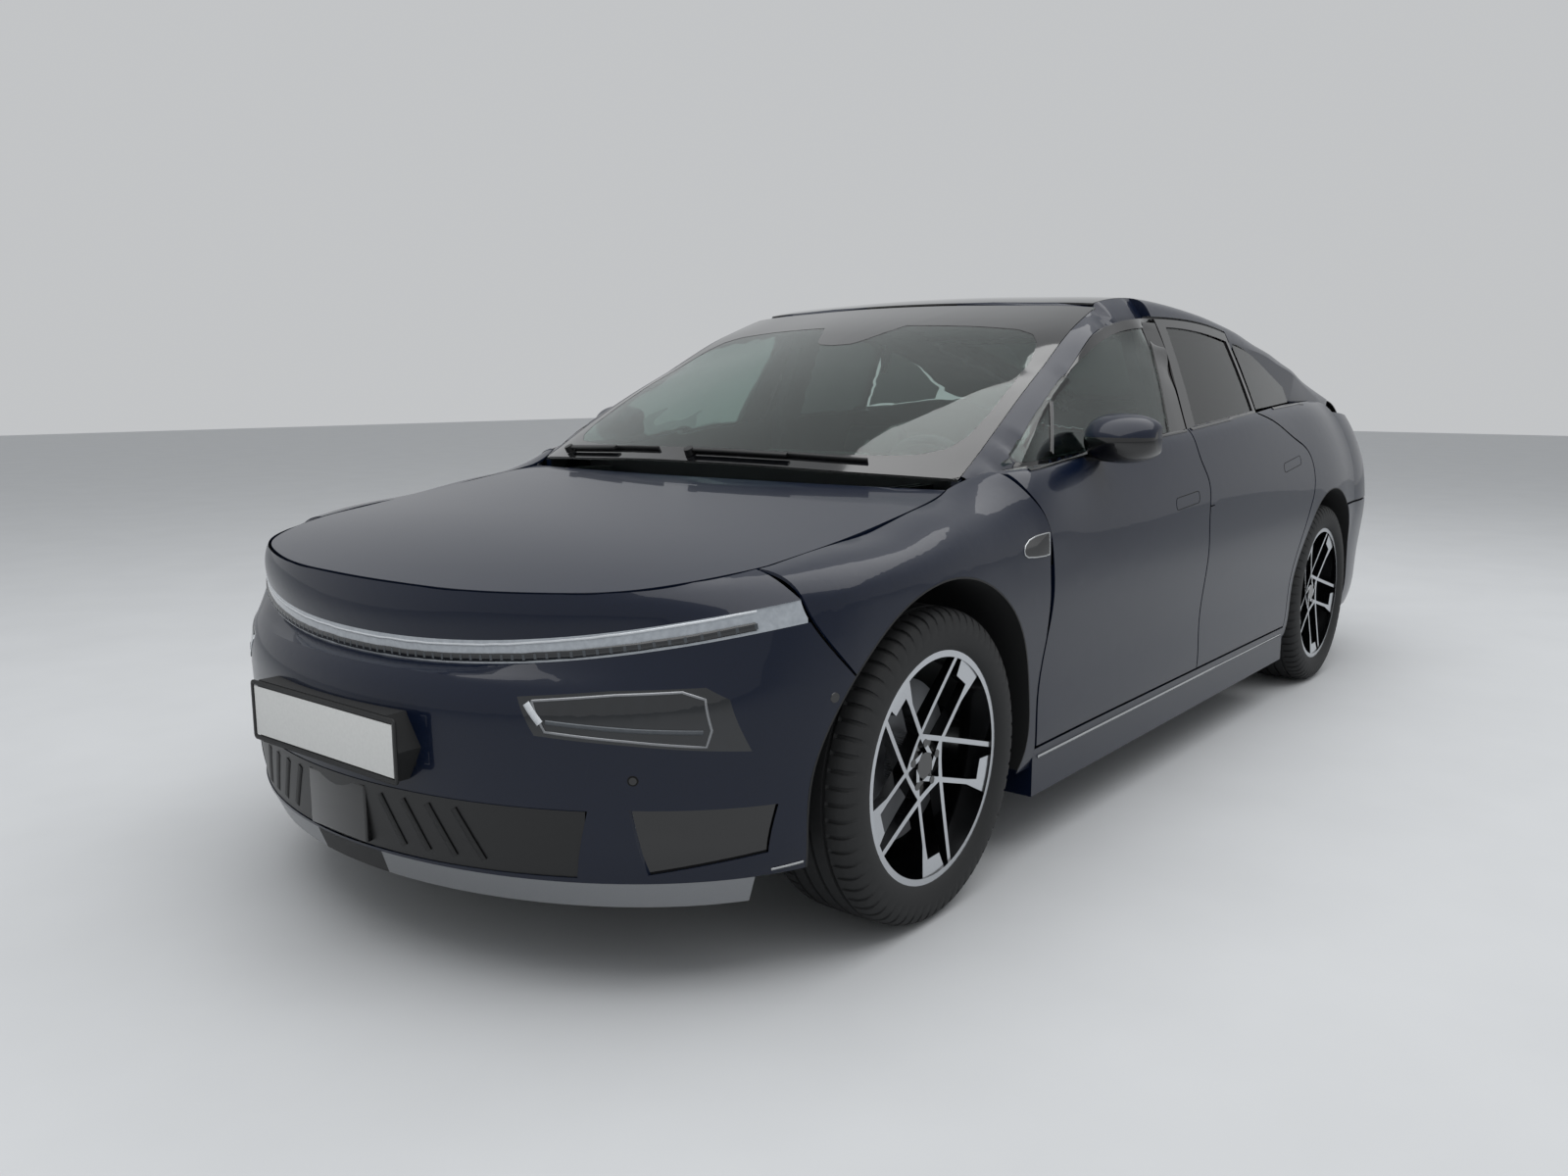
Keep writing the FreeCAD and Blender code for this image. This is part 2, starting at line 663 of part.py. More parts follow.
def whole_outline(half_runs):
    """A plan outline closed by its own mirror image; the half starts and ends on the middle."""
    left = [plan_points(run) for run in half_runs]
    first = left[0]
    last = left[-1]
    front = [V(p.x, -p.y, 0) for p in reversed(first[1:])] + first
    right = [plan_points(tuple(reversed(run)), -1) for run in reversed(half_runs[1:-1])]
    rear = last + [V(p.x, -p.y, 0) for p in reversed(last[:-1])]
    return [front] + left[1:-1] + [rear] + right


def plan_grown(runs, distance):
    """A plan outline moved outward by a distance."""
    upright = [[V(p.x, 0, p.y) for p in run] for run in runs]
    return [[V(p.x, p.z, 0) for p in run] for run in grown(upright, distance)]


bonnet_outline = whole_outline((bonnet_front_shares, bonnet_side_shares, bonnet_rear_shares))
screen_outline = whole_outline((screen_base_shares, screen_side_shares, screen_top_shares))
roof_outline = whole_outline((roof_front_shares, roof_side_shares, roof_rear_shares))
gate_outline = whole_outline((gate_front_shares, gate_side_shares, gate_rear_shares))
rear_screen_outline = whole_outline((rear_screen_front_shares, rear_screen_side_shares,
                                     rear_screen_rear_shares))

# The nose: a bumper, a light bar and a cap above it, and the line where they meet the wings
crease_share = 0.4286
BAR_LOW_SHARE = 0.4335
BAR_HIGH_SHARE = 0.465
BAR_LIFT_SHARE = 0.0794
BAR_LIFT_POWER = 2.3
BAR_REACH_SHARE = 0.919
BAR_DEPTH = 30.0
NOSE_FAN = [math.radians(angle) for angle in range(-90, 91, 12)]
BAR_FAN = [math.radians(angle) for angle in range(-78, 79, 12)]
nose_split_shares = ((-0.455, 0.640), (-0.480, 0.585), (-0.492, 0.540), (-0.451, 0.483), (-0.366, 0.424),
                     (-0.300, 0.380))


def nose_point(turn, z, reach_share, inset=0):
    """A point on the nose in the upright plane at an angle from the middle line."""
    reach = along(-reach_share) - NOSE_CENTRE_X - inset
    width = side_y(NOSE_CENTRE_X, z) - inset
    out = 1 / math.hypot(math.cos(turn) / reach, math.sin(turn) / width)
    return V(NOSE_CENTRE_X + out * math.cos(turn), out * math.sin(turn), z)


def nose_x(y, z, inset):
    """How far ahead the nose reaches at a distance from the middle."""
    reach = along(-nose_reach(z / HEIGHT)) - NOSE_CENTRE_X - inset
    return NOSE_CENTRE_X + reach * math.sqrt(1 - (y / (side_y(NOSE_CENTRE_X, z) - inset)) ** 2)


def bar_height(turn, share):
    """Height of a line that rises with the light bar towards the wings."""
    middle = nose_point(turn, BAR_LOW_SHARE * HEIGHT, BAR_REACH_SHARE)
    across = abs(middle.y) / side_y(NOSE_CENTRE_X, BAR_LOW_SHARE * HEIGHT)
    return HEIGHT * (share + BAR_LIFT_SHARE * across ** BAR_LIFT_POWER)


def nose_runs(turn, inset):
    lower = [nose_point(turn, z * HEIGHT, nose_reach(z), inset)
             for z in (0.165, 0.218, 0.284, 0.350, 0.397, crease_share)]
    shelf = nose_point(turn, bar_height(turn, BAR_LOW_SHARE), BAR_REACH_SHARE, inset)
    return lower, shelf


def nose_bumper_slab():
    sections = []
    for turn in NOSE_FAN:
        lower, shelf = nose_runs(turn, 0)
        inner, inner_shelf = nose_runs(turn, SKIN)
        inner_shelf = V(inner_shelf.x, inner_shelf.y, shelf.z)
        sections.append(Part.Wire([spline(lower), Part.makeLine(lower[-1], shelf),
                                   Part.makeLine(shelf, inner_shelf), Part.makeLine(inner_shelf, inner[-1]),
                                   spline(list(reversed(inner))), Part.makeLine(inner[0], lower[0])]))
    return loft(sections)


def nose_band(turns, low_share, high_share, inset, depth):
    """A band round the nose that follows the light bar's rising line."""
    sections = []
    for turn in turns:
        low = bar_height(turn, low_share)
        high = bar_height(turn, high_share)
        sections.append(Part.makePolygon([nose_point(turn, low, BAR_REACH_SHARE, inset),
                                          nose_point(turn, high, BAR_REACH_SHARE, inset),
                                          nose_point(turn, high, BAR_REACH_SHARE, inset + depth),
                                          nose_point(turn, low, BAR_REACH_SHARE, inset + depth),
                                          nose_point(turn, low, BAR_REACH_SHARE, inset)]))
    return loft(sections)


def bonnet_edge_at(turn):
    """The point of the bonnet's front shut line at an angle from the middle, seen from the nose centre."""
    edge = plan_points(bonnet_front_shares)
    angles = [math.atan2(p.y, p.x - NOSE_CENTRE_X) for p in edge]
    reach = smooth(list(zip(angles, [math.hypot(p.y, p.x - NOSE_CENTRE_X) for p in edge])))
    out = reach(abs(turn))
    x = NOSE_CENTRE_X + out * math.cos(turn)
    y = out * math.sin(turn)
    return V(x, y, bonnet_height(x, y))


def nose_cap_slab():
    """The painted cap between the light bar and the bonnet."""
    sections = []
    for turn in BAR_FAN:
        low = nose_point(turn, bar_height(turn, BAR_HIGH_SHARE), BAR_REACH_SHARE)
        high = bonnet_edge_at(turn)
        out = V(math.cos(turn), math.sin(turn), 0)
        middle = (low + high) * 0.5 + out * SKIN + V(0, 0, SKIN)
        back = out * (-SKIN)
        under = high - V(0, 0, 2 * SKIN)
        sections.append(Part.Wire([spline([low, middle, high]), Part.makeLine(high, under),
                                   spline([under, middle + back - V(0, 0, SKIN), low + back]),
                                   Part.makeLine(low + back, low)]))
    return loft(sections)


def nose_cap():
    tools = [side_prism_through(behind_nose_split(0)), plan_prism(plan_grown(bonnet_outline, 0))]
    return largest(cut(nose_cap_slab(), tools))


def light_bar(neighbours):
    """The lamp across the nose, between the bumper's shelf and the cap."""
    bar = nose_band(BAR_FAN, BAR_LOW_SHARE, BAR_HIGH_SHARE, 0, BAR_DEPTH)
    return largest(cut(bar, [side_prism_through(behind_nose_split(0))] + neighbours))


def behind_nose_split(gap):
    """The region behind the line between the wings and the nose, moved back by a gap."""
    line = side_points(nose_split_shares)
    line = [V(p.x - gap, 0, p.z) for p in line]
    back_x = REAR_AXLE_X
    return [line, [line[-1], V(line[-1].x, 0, 0)], [V(line[-1].x, 0, 0), V(back_x, 0, 0)],
            [V(back_x, 0, 0), V(back_x, 0, CUT)], [V(back_x, 0, CUT), V(line[0].x, 0, CUT)],
            [V(line[0].x, 0, CUT), line[0]]]


WING_TAB_SHARE = 0.40
WING_TAB_HEIGHT = 40.0
HINGE_PILLAR_NOSE = 30.0
PILLAR_NOSE_X = DOOR_FRONT_X + SHUT_GAP + 2 * SHUT_GAP / 8
PILLAR_NOSE_Y = side_y(PILLAR_NOSE_X, DOOR_LOW) - 3 * SKIN


def front_wing():
    """The left front wing, from the nose to the front door."""
    skin = side_slab(between(SIDE_STATIONS, -0.58, 0.18), SILL_SHARE * HEIGHT, SKIN)
    skin = skin.common(side_prism(behind_nose_split(SHUT_GAP)))
    tools = [arch_cut(FRONT_AXLE_X, ARCH_RADIUS), side_prism(grown(front_door_line, SHUT_GAP / 2)),
             plan_prism(plan_grown(bonnet_outline, 0))]
    wing = cut(skin, tools)
    behind = box(DOOR_FRONT_X + SHUT_GAP / 2, REAR_AXLE_X, 0, CUT, 0, CUT)
    low = WING_TAB_SHARE * HEIGHT
    tab = box(PILLAR_NOSE_X, PILLAR_NOSE_X + HINGE_PILLAR_NOSE, PILLAR_NOSE_Y, side_y(PILLAR_NOSE_X, low) - SKIN / 2,
              low, low + WING_TAB_HEIGHT)
    return largest(largest(wing.cut(behind)).fuse(tab))


BONNET_DEPTH = 24.0
BONNET_PIN_RADIUS = 5.0
BONNET_EYE_RADIUS = 9.0
BONNET_PIN_HALF = 24.0
BONNET_EYE_WIDTH = 12.0
BONNET_LUG_LENGTH = 76.0
BONNET_HINGE_Y = 600.0
BONNET_HINGE_X = along(0.100)
BONNET_HINGE_Z = bonnet_height(BONNET_HINGE_X + BONNET_LUG_LENGTH / 2, BONNET_HINGE_Y) - 0.7 * BONNET_DEPTH
PILLAR_WALL = 45.0
BULKHEAD_X = FRONT_AXLE_X - ARCH_RADIUS - 2 * SHUT_GAP
BULKHEAD_TOP = 0.60 * HEIGHT
BONNET_STATIONS = (-0.93, -0.80, -0.65, -0.43, -0.216, 0.0, 0.067, 0.13)


def bonnet_slab(top_drop, depth):
    sections = []
    for share in BONNET_STATIONS:
        x = along(share)
        outer = []
        inner = []
        for i in range(7):
            y = HALF_WIDTH * 0.86 * (1 - i / 3)
            z = bonnet_height(x, y) - top_drop
            outer.append(V(x, y, z))
            inner.append(V(x, y, z - depth))
        sections.append(slab_section(outer, inner))
    return loft(sections)


def bonnet():
    lid = bonnet_slab(0, BONNET_DEPTH).common(plan_prism(plan_grown(bonnet_outline, -SHUT_GAP)))
    lugs = []
    for side in (-1, 1):
        y = side * BONNET_HINGE_Y
        lugs.append(box(BONNET_HINGE_X, BONNET_HINGE_X + BONNET_LUG_LENGTH, y - BONNET_PIN_RADIUS,
                        y + BONNET_PIN_RADIUS, BONNET_HINGE_Z - BONNET_PIN_RADIUS,
                        BONNET_HINGE_Z + BONNET_PIN_RADIUS))
        lugs.append(Part.makeCylinder(BONNET_PIN_RADIUS, 2 * BONNET_PIN_HALF,
                                      V(BONNET_HINGE_X, y - BONNET_PIN_HALF, BONNET_HINGE_Z), V(0, 1, 0)))
    return largest(lid.fuse(lugs))


def bonnet_brackets():
    """The bulkhead's arms, two to a hinge, each ending in an eye round the bonnet's pin."""
    arms = []
    low = BONNET_HINGE_Z - BONNET_EYE_RADIUS
    high = BONNET_HINGE_Z + BONNET_EYE_RADIUS
    start = BONNET_PIN_HALF - BONNET_EYE_WIDTH
    for side in (-1, 1):
        for near, far in ((-BONNET_PIN_HALF, -start), (start, BONNET_PIN_HALF)):
            y0 = side * BONNET_HINGE_Y + near
            y1 = side * BONNET_HINGE_Y + far
            arm = box(BULKHEAD_X - FLOOR_THICKNESS, BONNET_HINGE_X, y0, y1, low, high)
            post = box(BULKHEAD_X - FLOOR_THICKNESS, BULKHEAD_X, y0, y1, BULKHEAD_TOP - PILLAR_WALL, high)
            eye = Part.makeCylinder(BONNET_EYE_RADIUS, y1 - y0, V(BONNET_HINGE_X, y0, BONNET_HINGE_Z),
                                    V(0, 1, 0))
            bore = Part.makeCylinder(BONNET_PIN_RADIUS + RUNNING_GAP, y1 - y0,
                                     V(BONNET_HINGE_X, y0, BONNET_HINGE_Z), V(0, 1, 0))
            arms.append(joined([arm, post, eye]).cut(bore))
    return arms


def cowl():
    """The dark strip between the bonnet and the screen."""
    strip = bonnet_slab(BONNET_DEPTH / 2, BONNET_DEPTH / 2)
    inside = box(along(0.03), along(0.117), -0.775 * HALF_WIDTH, 0.775 * HALF_WIDTH, 0, HEIGHT)
    strip = strip.common(inside)
    tools = [plan_prism(plan_grown(bonnet_outline, SHUT_GAP)), plan_prism(screen_outline)]
    for side in (-1, 1):
        y = side * BONNET_HINGE_Y
        tools.append(box(0, BONNET_HINGE_X + BONNET_LUG_LENGTH, y - BONNET_PIN_HALF - SHUT_GAP,
                         y + BONNET_PIN_HALF + SHUT_GAP, 0, HEIGHT))
    return cut(strip, tools)


# The tail: a bumper, the quarters and the tailgate's upright panel
TAIL_FAN = [math.radians(angle) for angle in range(-90, 91, 10)]
BUMPER_TOP_SHARE = 0.470
GATE_LOW_SHARE = 0.535


def tail_section(turn, depth):
    run = []
    for point in side_run(TAIL_CENTRE_X, SILL_SHARE * HEIGHT):
        reach = TAIL_CENTRE_X - along(tail_reach(point.z / HEIGHT)) - depth
        lengthwise = (abs(math.cos(turn)) / reach) ** TAIL_SQUARENESS
        crosswise = (abs(math.sin(turn)) / (point.y - depth)) ** TAIL_SQUARENESS
        out = (lengthwise + crosswise) ** (-1 / TAIL_SQUARENESS)
        run.append(V(TAIL_CENTRE_X - out * math.cos(turn), out * math.sin(turn), point.z))
    return run


def tail_x(y, z, inset):
    """How far behind the tail reaches at a distance from the middle."""
    reach = TAIL_CENTRE_X - along(tail_reach(z / HEIGHT)) - inset
    across = (y / (side_y(TAIL_CENTRE_X, z) - inset)) ** TAIL_SQUARENESS
    return TAIL_CENTRE_X - reach * (1 - across) ** (1 / TAIL_SQUARENESS)


def tail_slab(depth, proud=0):
    """A layer round the tail, from a depth inside its skin to a height proud of it."""
    sections = []
    for turn in TAIL_FAN:
        sections.append(slab_section(tail_section(turn, -proud), tail_section(turn, depth)))
    return loft(sections)


# Front bumper openings, as (half-width, height) shares of the front view
grille_opening_shares = ((0.0, 0.262), (0.44, 0.262), (0.63, 0.266), (0.60, 0.172), (0.0, 0.168))
vent_opening_shares = ((0.70, 0.268), (0.90, 0.266), (0.885, 0.20), (0.72, 0.178))
lamp_opening_shares = ((0.50, 0.412), (0.67, 0.424), (0.815, 0.428), (0.850, 0.412), (0.875, 0.342),
                       (0.705, 0.355), (0.540, 0.364))
LAMP_DEPTH = 40.0
GRILLE_DEPTH = 16.0
GRILLE_SETBACK = 30.0
GRILLE_BARS = 21
GRILLE_BAR_WIDTH = 10.0
LIP_FAN = [math.radians(angle) for angle in range(-72, 73, 12)]
LIP_LOW_SHARE = 0.126
LIP_HIGH_SHARE = 0.165
LIP_TOP_SHARE = 0.985
LIP_DEPTH = 120.0
LIP_REACH_SHARE = 0.955
PAD_Y = 350.0
PAD_HALF = 20.0
PAD_SHARE = 0.304
BEAM_X = FRONT_AXLE_X + FRONT_OVERHANG - 88.0
BEAM_HALF = 400.0
BEAM_DEPTH = 40.0
BEAM_HEIGHT = 60.0
PLATE_WIDTH = 520.0
PLATE_HEIGHT = 110.0
PLATE_MARGIN = 16.0
PLATE_PROUD = 26.0
PLATE_SHARE = 0.331


def front_prism(shares, closed_by_mirror=False):
    """Everything ahead of the nose centre inside a front-view outline."""
    points = [V(NOSE_CENTRE_X, y * HALF_WIDTH, z * HEIGHT) for y, z in shares]
    if closed_by_mirror:
        points = points + [V(p.x, -p.y, p.z) for p in reversed(points[1:-1])]
    return Part.Face(Part.makePolygon(points + [points[0]])).extrude(V(CUT, 0, 0))


def nose_openings():
    sides = [front_prism(vent_opening_shares), front_prism(lamp_opening_shares)]
    return [front_prism(grille_opening_shares, True)] + sides + [mirrored(side) for side in sides]


def front_bumper():
    bumper = nose_bumper_slab()
    split = side_prism_through(behind_nose_split(0))
    shell = largest(cut(bumper, [arch_cut_through(FRONT_AXLE_X, ARCH_RADIUS), split] + nose_openings()))
    low = PAD_SHARE * HEIGHT - PAD_HALF
    reach = nose_x(PAD_Y + PAD_HALF, PAD_SHARE * HEIGHT, SKIN / 2)
    pads = [box(BEAM_X, reach, side * PAD_Y - PAD_HALF, side * PAD_Y + PAD_HALF, low, low + 2 * PAD_HALF)
            for side in (-1, 1)]
    return largest(shell.fuse(pads))


def arch_cut_through(axle_x, radius):
    return Part.makeCylinder(radius, CUT, V(axle_x, -CUT / 2, TYRE_RADIUS), V(0, 1, 0))


def nose_layer(inset, depth):
    """A layer behind the bumper's face, between its foot and its crease."""
    sections = []
    for turn in NOSE_FAN:
        outer, _ = nose_runs(turn, inset)
        inner, _ = nose_runs(turn, inset + depth)
        sections.append(slab_section(outer, inner))
    return loft(sections)


def head_lamp():
    """The left lower lamp, filling its opening."""
    return largest(nose_layer(0, LAMP_DEPTH).common(front_prism(lamp_opening_shares)))


def grille():
    """Upright bars across the lower opening, on a backing panel with its sensor block."""
    layer = nose_layer(GRILLE_SETBACK, GRILLE_DEPTH).common(front_prism(grille_opening_shares, True))
    face = nose_layer(SKIN, GRILLE_SETBACK).common(front_prism(grille_opening_shares, True))
    pitch = 2 * 0.60 * HALF_WIDTH / GRILLE_BARS
    bars = []
    for i in range(GRILLE_BARS):
        middle = (i + 0.5 - GRILLE_BARS / 2) * pitch
        bars.append(box(NOSE_CENTRE_X, LENGTH, middle - GRILLE_BAR_WIDTH / 2, middle + GRILLE_BAR_WIDTH / 2,
                        0, HEIGHT))
    upright = Part.Compound([face.common(bar) for bar in bars])
    return largest(layer.fuse(upright.Solids))


def side_vent():
    """The dark outlet in a front corner of the bumper."""
    return largest(nose_layer(SKIN, GRILLE_DEPTH).common(front_prism(vent_opening_shares)))


def bumper_lip():
    """The bright spoiler under the bumper."""
    sections = []
    top_z = LIP_HIGH_SHARE * HEIGHT - RUNNING_GAP
    low_z = LIP_LOW_SHARE * HEIGHT
    for turn in LIP_FAN:
        low = nose_point(turn, low_z, LIP_REACH_SHARE)
        high = nose_point(turn, top_z, LIP_TOP_SHARE)
        high_in = nose_point(turn, top_z, LIP_TOP_SHARE, LIP_DEPTH)
        low_in = nose_point(turn, low_z, LIP_REACH_SHARE, LIP_DEPTH)
        sections.append(Part.makePolygon([low, high, high_in, low_in, low]))
    return loft(sections)


def plate_carrier():
    """The front plate's holder, proud of the bumper and shaped to it behind."""
    middle = PLATE_SHARE * HEIGHT
    half_width = PLATE_WIDTH / 2 + PLATE_MARGIN
    half_height = PLATE_HEIGHT / 2 + PLATE_MARGIN
    face_x = FRONT_AXLE_X + FRONT_OVERHANG + PLATE_PROUD
    corners = [V(0, -half_width, middle), V(0, -half_width + half_height / 2, middle + half_height),
               V(0, half_width - half_height / 2, middle + half_height), V(0, half_width, middle),
               V(0, half_width - half_height / 2, middle - half_height),
               V(0, -half_width + half_height / 2, middle - half_height)]
    face = Part.Face(Part.makePolygon(corners + [corners[0]]))
    face.translate(V(NOSE_CENTRE_X, 0, 0))
    block = face.extrude(V(face_x - NOSE_CENTRE_X, 0, 0))
    return largest(block.cut(nose_block()))


def nose_block():
    """The whole nose as one block, to shape what seats on it."""
    sections = []
    for turn in NOSE_FAN:
        outer, _ = nose_runs(turn, 0)
        inner = [V(NOSE_CENTRE_X + SKIN * math.cos(turn), SKIN * math.sin(turn), p.z) for p in (outer[0], outer[-1])]
        sections.append(slab_section(outer, inner))
    core = Part.makeCylinder(2 * SKIN, HEIGHT, V(NOSE_CENTRE_X, 0, 0))
    return loft(sections).fuse(core)


# The rear bumper, quarters and the tailgate
REAR_BEAM_X = along(1.92)
REAR_BEAM_Z = 0.26 * HEIGHT


def below_bumper_line():
    return box(REAR_AXLE_X, -LENGTH, -CUT, CUT, 0, BUMPER_TOP_SHARE * HEIGHT)


def rear_bumper():
    tail = tail_slab(SKIN)
    wrap = side_slab(between(SIDE_STATIONS, 1.0, TAIL_CENTRE_SHARE), SILL_SHARE * HEIGHT, SKIN)
    whole = tail.fuse([wrap, mirrored(wrap)])
    whole = whole.common(below_bumper_line())
    shell = largest(whole.cut(arch_cut_through(REAR_AXLE_X, ARCH_RADIUS)))
    low = REAR_BEAM_Z
    reach = tail_x(PAD_Y + PAD_HALF, low + PAD_HALF, SKIN / 2)
    pads = [box(REAR_BEAM_X, reach, side * PAD_Y - PAD_HALF, side * PAD_Y + PAD_HALF, low, low + 2 * PAD_HALF)
            for side in (-1, 1)]
    return largest(shell.fuse(pads))


TAIL_HALF_SHARE = 0.61
LAMP_LOW_SHARE = 0.605
LAMP_HIGH_SHARE = 0.645
TAIL_LAMP_DEPTH = 18.0
LAMP_GAP = 1.5
CORNER_LAMP_X = TAIL_CENTRE_X - 0.62 * REAR_OVERHANG * 0.646
GATE_DEPTH = 30.0
GATE_LIP = 8.0
GATE_HINGE_Y = 450.0
GATE_HINGE_AHEAD = 30.0
GATE_HINGE_DROP = 12.0
GATE_PIN_RADIUS = 4.0
GATE_PIN_HALF = 22.0
GATE_ARM_HALF = 8.0
GATE_ARM_LENGTH = 72.0
GATE_EDGE_X = along(0.8105) - SHUT_GAP / 2
GATE_HINGE_X = GATE_EDGE_X + GATE_HINGE_AHEAD
GATE_HINGE_Z = roof_height(GATE_HINGE_X, GATE_HINGE_Y) - GATE_HINGE_DROP


def gate_pin(radius):
    """The hinge pin's cylinder on the left side."""
    return Part.makeCylinder(radius, 2 * GATE_PIN_HALF, V(GATE_HINGE_X, GATE_HINGE_Y - GATE_PIN_HALF, GATE_HINGE_Z),
                             V(0, 1, 0))


def gate_arm(extra):
    """The arm from the tailgate to its pin, or with extra room the notch that it moves in."""
    half = GATE_ARM_HALF + extra
    height = GATE_PIN_RADIUS + 2 + extra * HEIGHT
    return box(GATE_HINGE_X - GATE_ARM_LENGTH, GATE_HINGE_X + GATE_PIN_RADIUS + 2 + extra, GATE_HINGE_Y - half,
               GATE_HINGE_Y + half, GATE_HINGE_Z - height, GATE_HINGE_Z + height)


def gate_panel_region(grow):
    """The upright part of the tailgate, seen from behind."""
    half = TAIL_HALF_SHARE * HALF_WIDTH + grow
    return box(TAIL_CENTRE_X, -LENGTH, -half, half, GATE_LOW_SHARE * HEIGHT - grow, HEIGHT)


def rear_frame_slab(inset, depth):
    return cabin_slab(between(CABIN_STATIONS, 0.775, 1.92), inset, depth)


def tail_outline(inset):
    """The plan outline of the tail's top edge, open ahead to the middle of the car."""
    rim = [tail_section(turn, inset)[-1] for turn in TAIL_FAN]
    rim = [V(p.x, p.y, 0) for p in rim]
    return [rim, [rim[-1], V(0, rim[-1].y, 0)], [V(0, rim[-1].y, 0), V(0, rim[0].y, 0)],
            [V(0, rim[0].y, 0), rim[0]]]


def below_deck():
    """Everything under the rear glass and deck surface."""
    sections = []
    for share in between(CABIN_STATIONS, 0.93, 1.92):
        x = along(share)
        run = cabin_run(x, 0)
        low = run[0].z
        sections.append(Part.Wire([spline(run), Part.makeLine(run[-1], V(x, -CUT, low)),
                                   Part.makeLine(V(x, -CUT, low), V(x, -CUT, 0)),
                                   Part.makeLine(V(x, -CUT, 0), V(x, CUT, 0)),
                                   Part.makeLine(V(x, CUT, 0), V(x, CUT, low)),
                                   Part.makeLine(V(x, CUT, low), run[0])]))
    space = loft(sections)
    return space.fuse(box(along(1.9), -LENGTH, -CUT, CUT, 0, 0.742 * HEIGHT))


def tailgate():
    """The tailgate's frame round its glass and its upright panel, in one piece."""
    top = rear_frame_slab(0, GATE_DEPTH).common(plan_prism(plan_grown(gate_outline, -SHUT_GAP / 2)))
    top = top.common(plan_prism(tail_outline(0)))
    under_lip = rear_frame_slab(GATE_LIP, GATE_DEPTH).common(box(GATE_EDGE_X - GATE_ARM_LENGTH / 2, LENGTH, -CUT,
                                                                 CUT, 0, HEIGHT))
    top = cut(top, [plan_prism(rear_screen_outline), under_lip])
    panel = tail_slab(GATE_DEPTH).common(gate_panel_region(-SHUT_GAP / 2)).common(below_deck())
    arm = gate_arm(0)
    pin = gate_pin(GATE_PIN_RADIUS)
    whole = largest(top.fuse([panel, arm, mirrored(arm), pin, mirrored(pin)]))
    return whole.cut(tail_lamp_band(LAMP_GAP))


def tail_lamp_band(gap):
    """The ring round the tail that holds the lamps, to a lamp's depth, or with a gap the room for it."""
    level = box(CORNER_LAMP_X + gap, -LENGTH, -CUT, CUT, LAMP_LOW_SHARE * HEIGHT - gap,
                LAMP_HIGH_SHARE * HEIGHT + gap)
    return tail_slab(TAIL_LAMP_DEPTH + gap, SKIN * math.ceil(gap)).common(level)


def gate_lamp():
    """The lamp across the tailgate."""
    return largest(tail_lamp_band(0).common(gate_panel_region(-SHUT_GAP / 2)))


def corner_lamps():
    """The tailgate lamp's two ends, on the quarters."""
    band = tail_lamp_band(0).cut(gate_panel_region(SHUT_GAP / 2))
    return Part.Compound([band.common(box(-LENGTH, 0, 0, CUT, 0, HEIGHT)).Solids[0],
                          band.common(box(-LENGTH, 0, 0, -CUT, 0, HEIGHT)).Solids[0]])


def rear_screen():
    return largest(rear_frame_slab(0, GLASS).common(plan_prism(rear_screen_outline)))


def screen():
    pane = cabin_slab(between(CABIN_STATIONS, 0.0601, 0.47), 0, GLASS)
    return largest(pane.common(plan_prism(screen_outline)))


def roof_panel():
    pane = cabin_slab(between(CABIN_STATIONS, 0.41, 0.83), 0, GLASS)
    return largest(pane.common(plan_prism(roof_outline)))


A_PILLAR_SHARES = (0.19, 0.27)


def frame_slab():
    """The cabin's shell, thin beside the windscreen where the door's front corner swings in, then deep."""
    sections = []
    for share in CABIN_STATIONS:
        outer = cabin_run(along(share), 0)
        blend = min(1, max(0, (share - A_PILLAR_SHARES[0]) / (A_PILLAR_SHARES[1] - A_PILLAR_SHARES[0])))
        depth = SKIN + (PILLAR_DEPTH - SKIN) * blend
        sections.append(slab_section(outer, inward(outer, [depth] * len(outer))))
    return loft(sections)


def cabin_frame():
    """The pillars, roof rails and headers, in one frame."""
    frame = frame_slab().common(plan_prism(tail_outline(SKIN)))
    outside = outboard(-RUNNING_GAP)
    tools = []
    for line in (front_door_line, rear_door_line):
        opening = side_prism(grown(line, SHUT_GAP / 2)).common(outside)
        tools += [opening, mirrored(opening)]
    behind_frame = frame_opening()
    tools += [behind_frame, mirrored(behind_frame)]
    tools.append(side_prism_through(quarter_glass_line))
    for outline in (screen_outline, roof_outline):
        tools.append(plan_prism(outline))
    tools.append(plan_prism(plan_grown(gate_outline, SHUT_GAP / 2)))
    tools.append(box(along(0.055), LENGTH, -CUT, CUT, 0, HEIGHT))
    wing_shell = side_slab(between(SIDE_STATIONS, 0.0, 0.152), SHOULDER_START_SHARE * HEIGHT / 2,
                           SKIN + RUNNING_GAP)
    tools += [wing_shell, mirrored(wing_shell)]
    notch = gate_arm(SHUT_GAP / 2)
    bore = gate_pin(GATE_PIN_RADIUS + RUNNING_GAP)
    tools += [notch, mirrored(notch), bore, mirrored(bore)]
    return largest(cut(frame, tools))


def frame_opening():
    """The doorway inside the door frames: everything below the rails and pillars."""
    runs = [grown(line, -PILLAR_WALL / 2) for line in (front_door_line, rear_door_line)]
    return side_prism(runs[0]).fuse(side_prism(runs[1]))


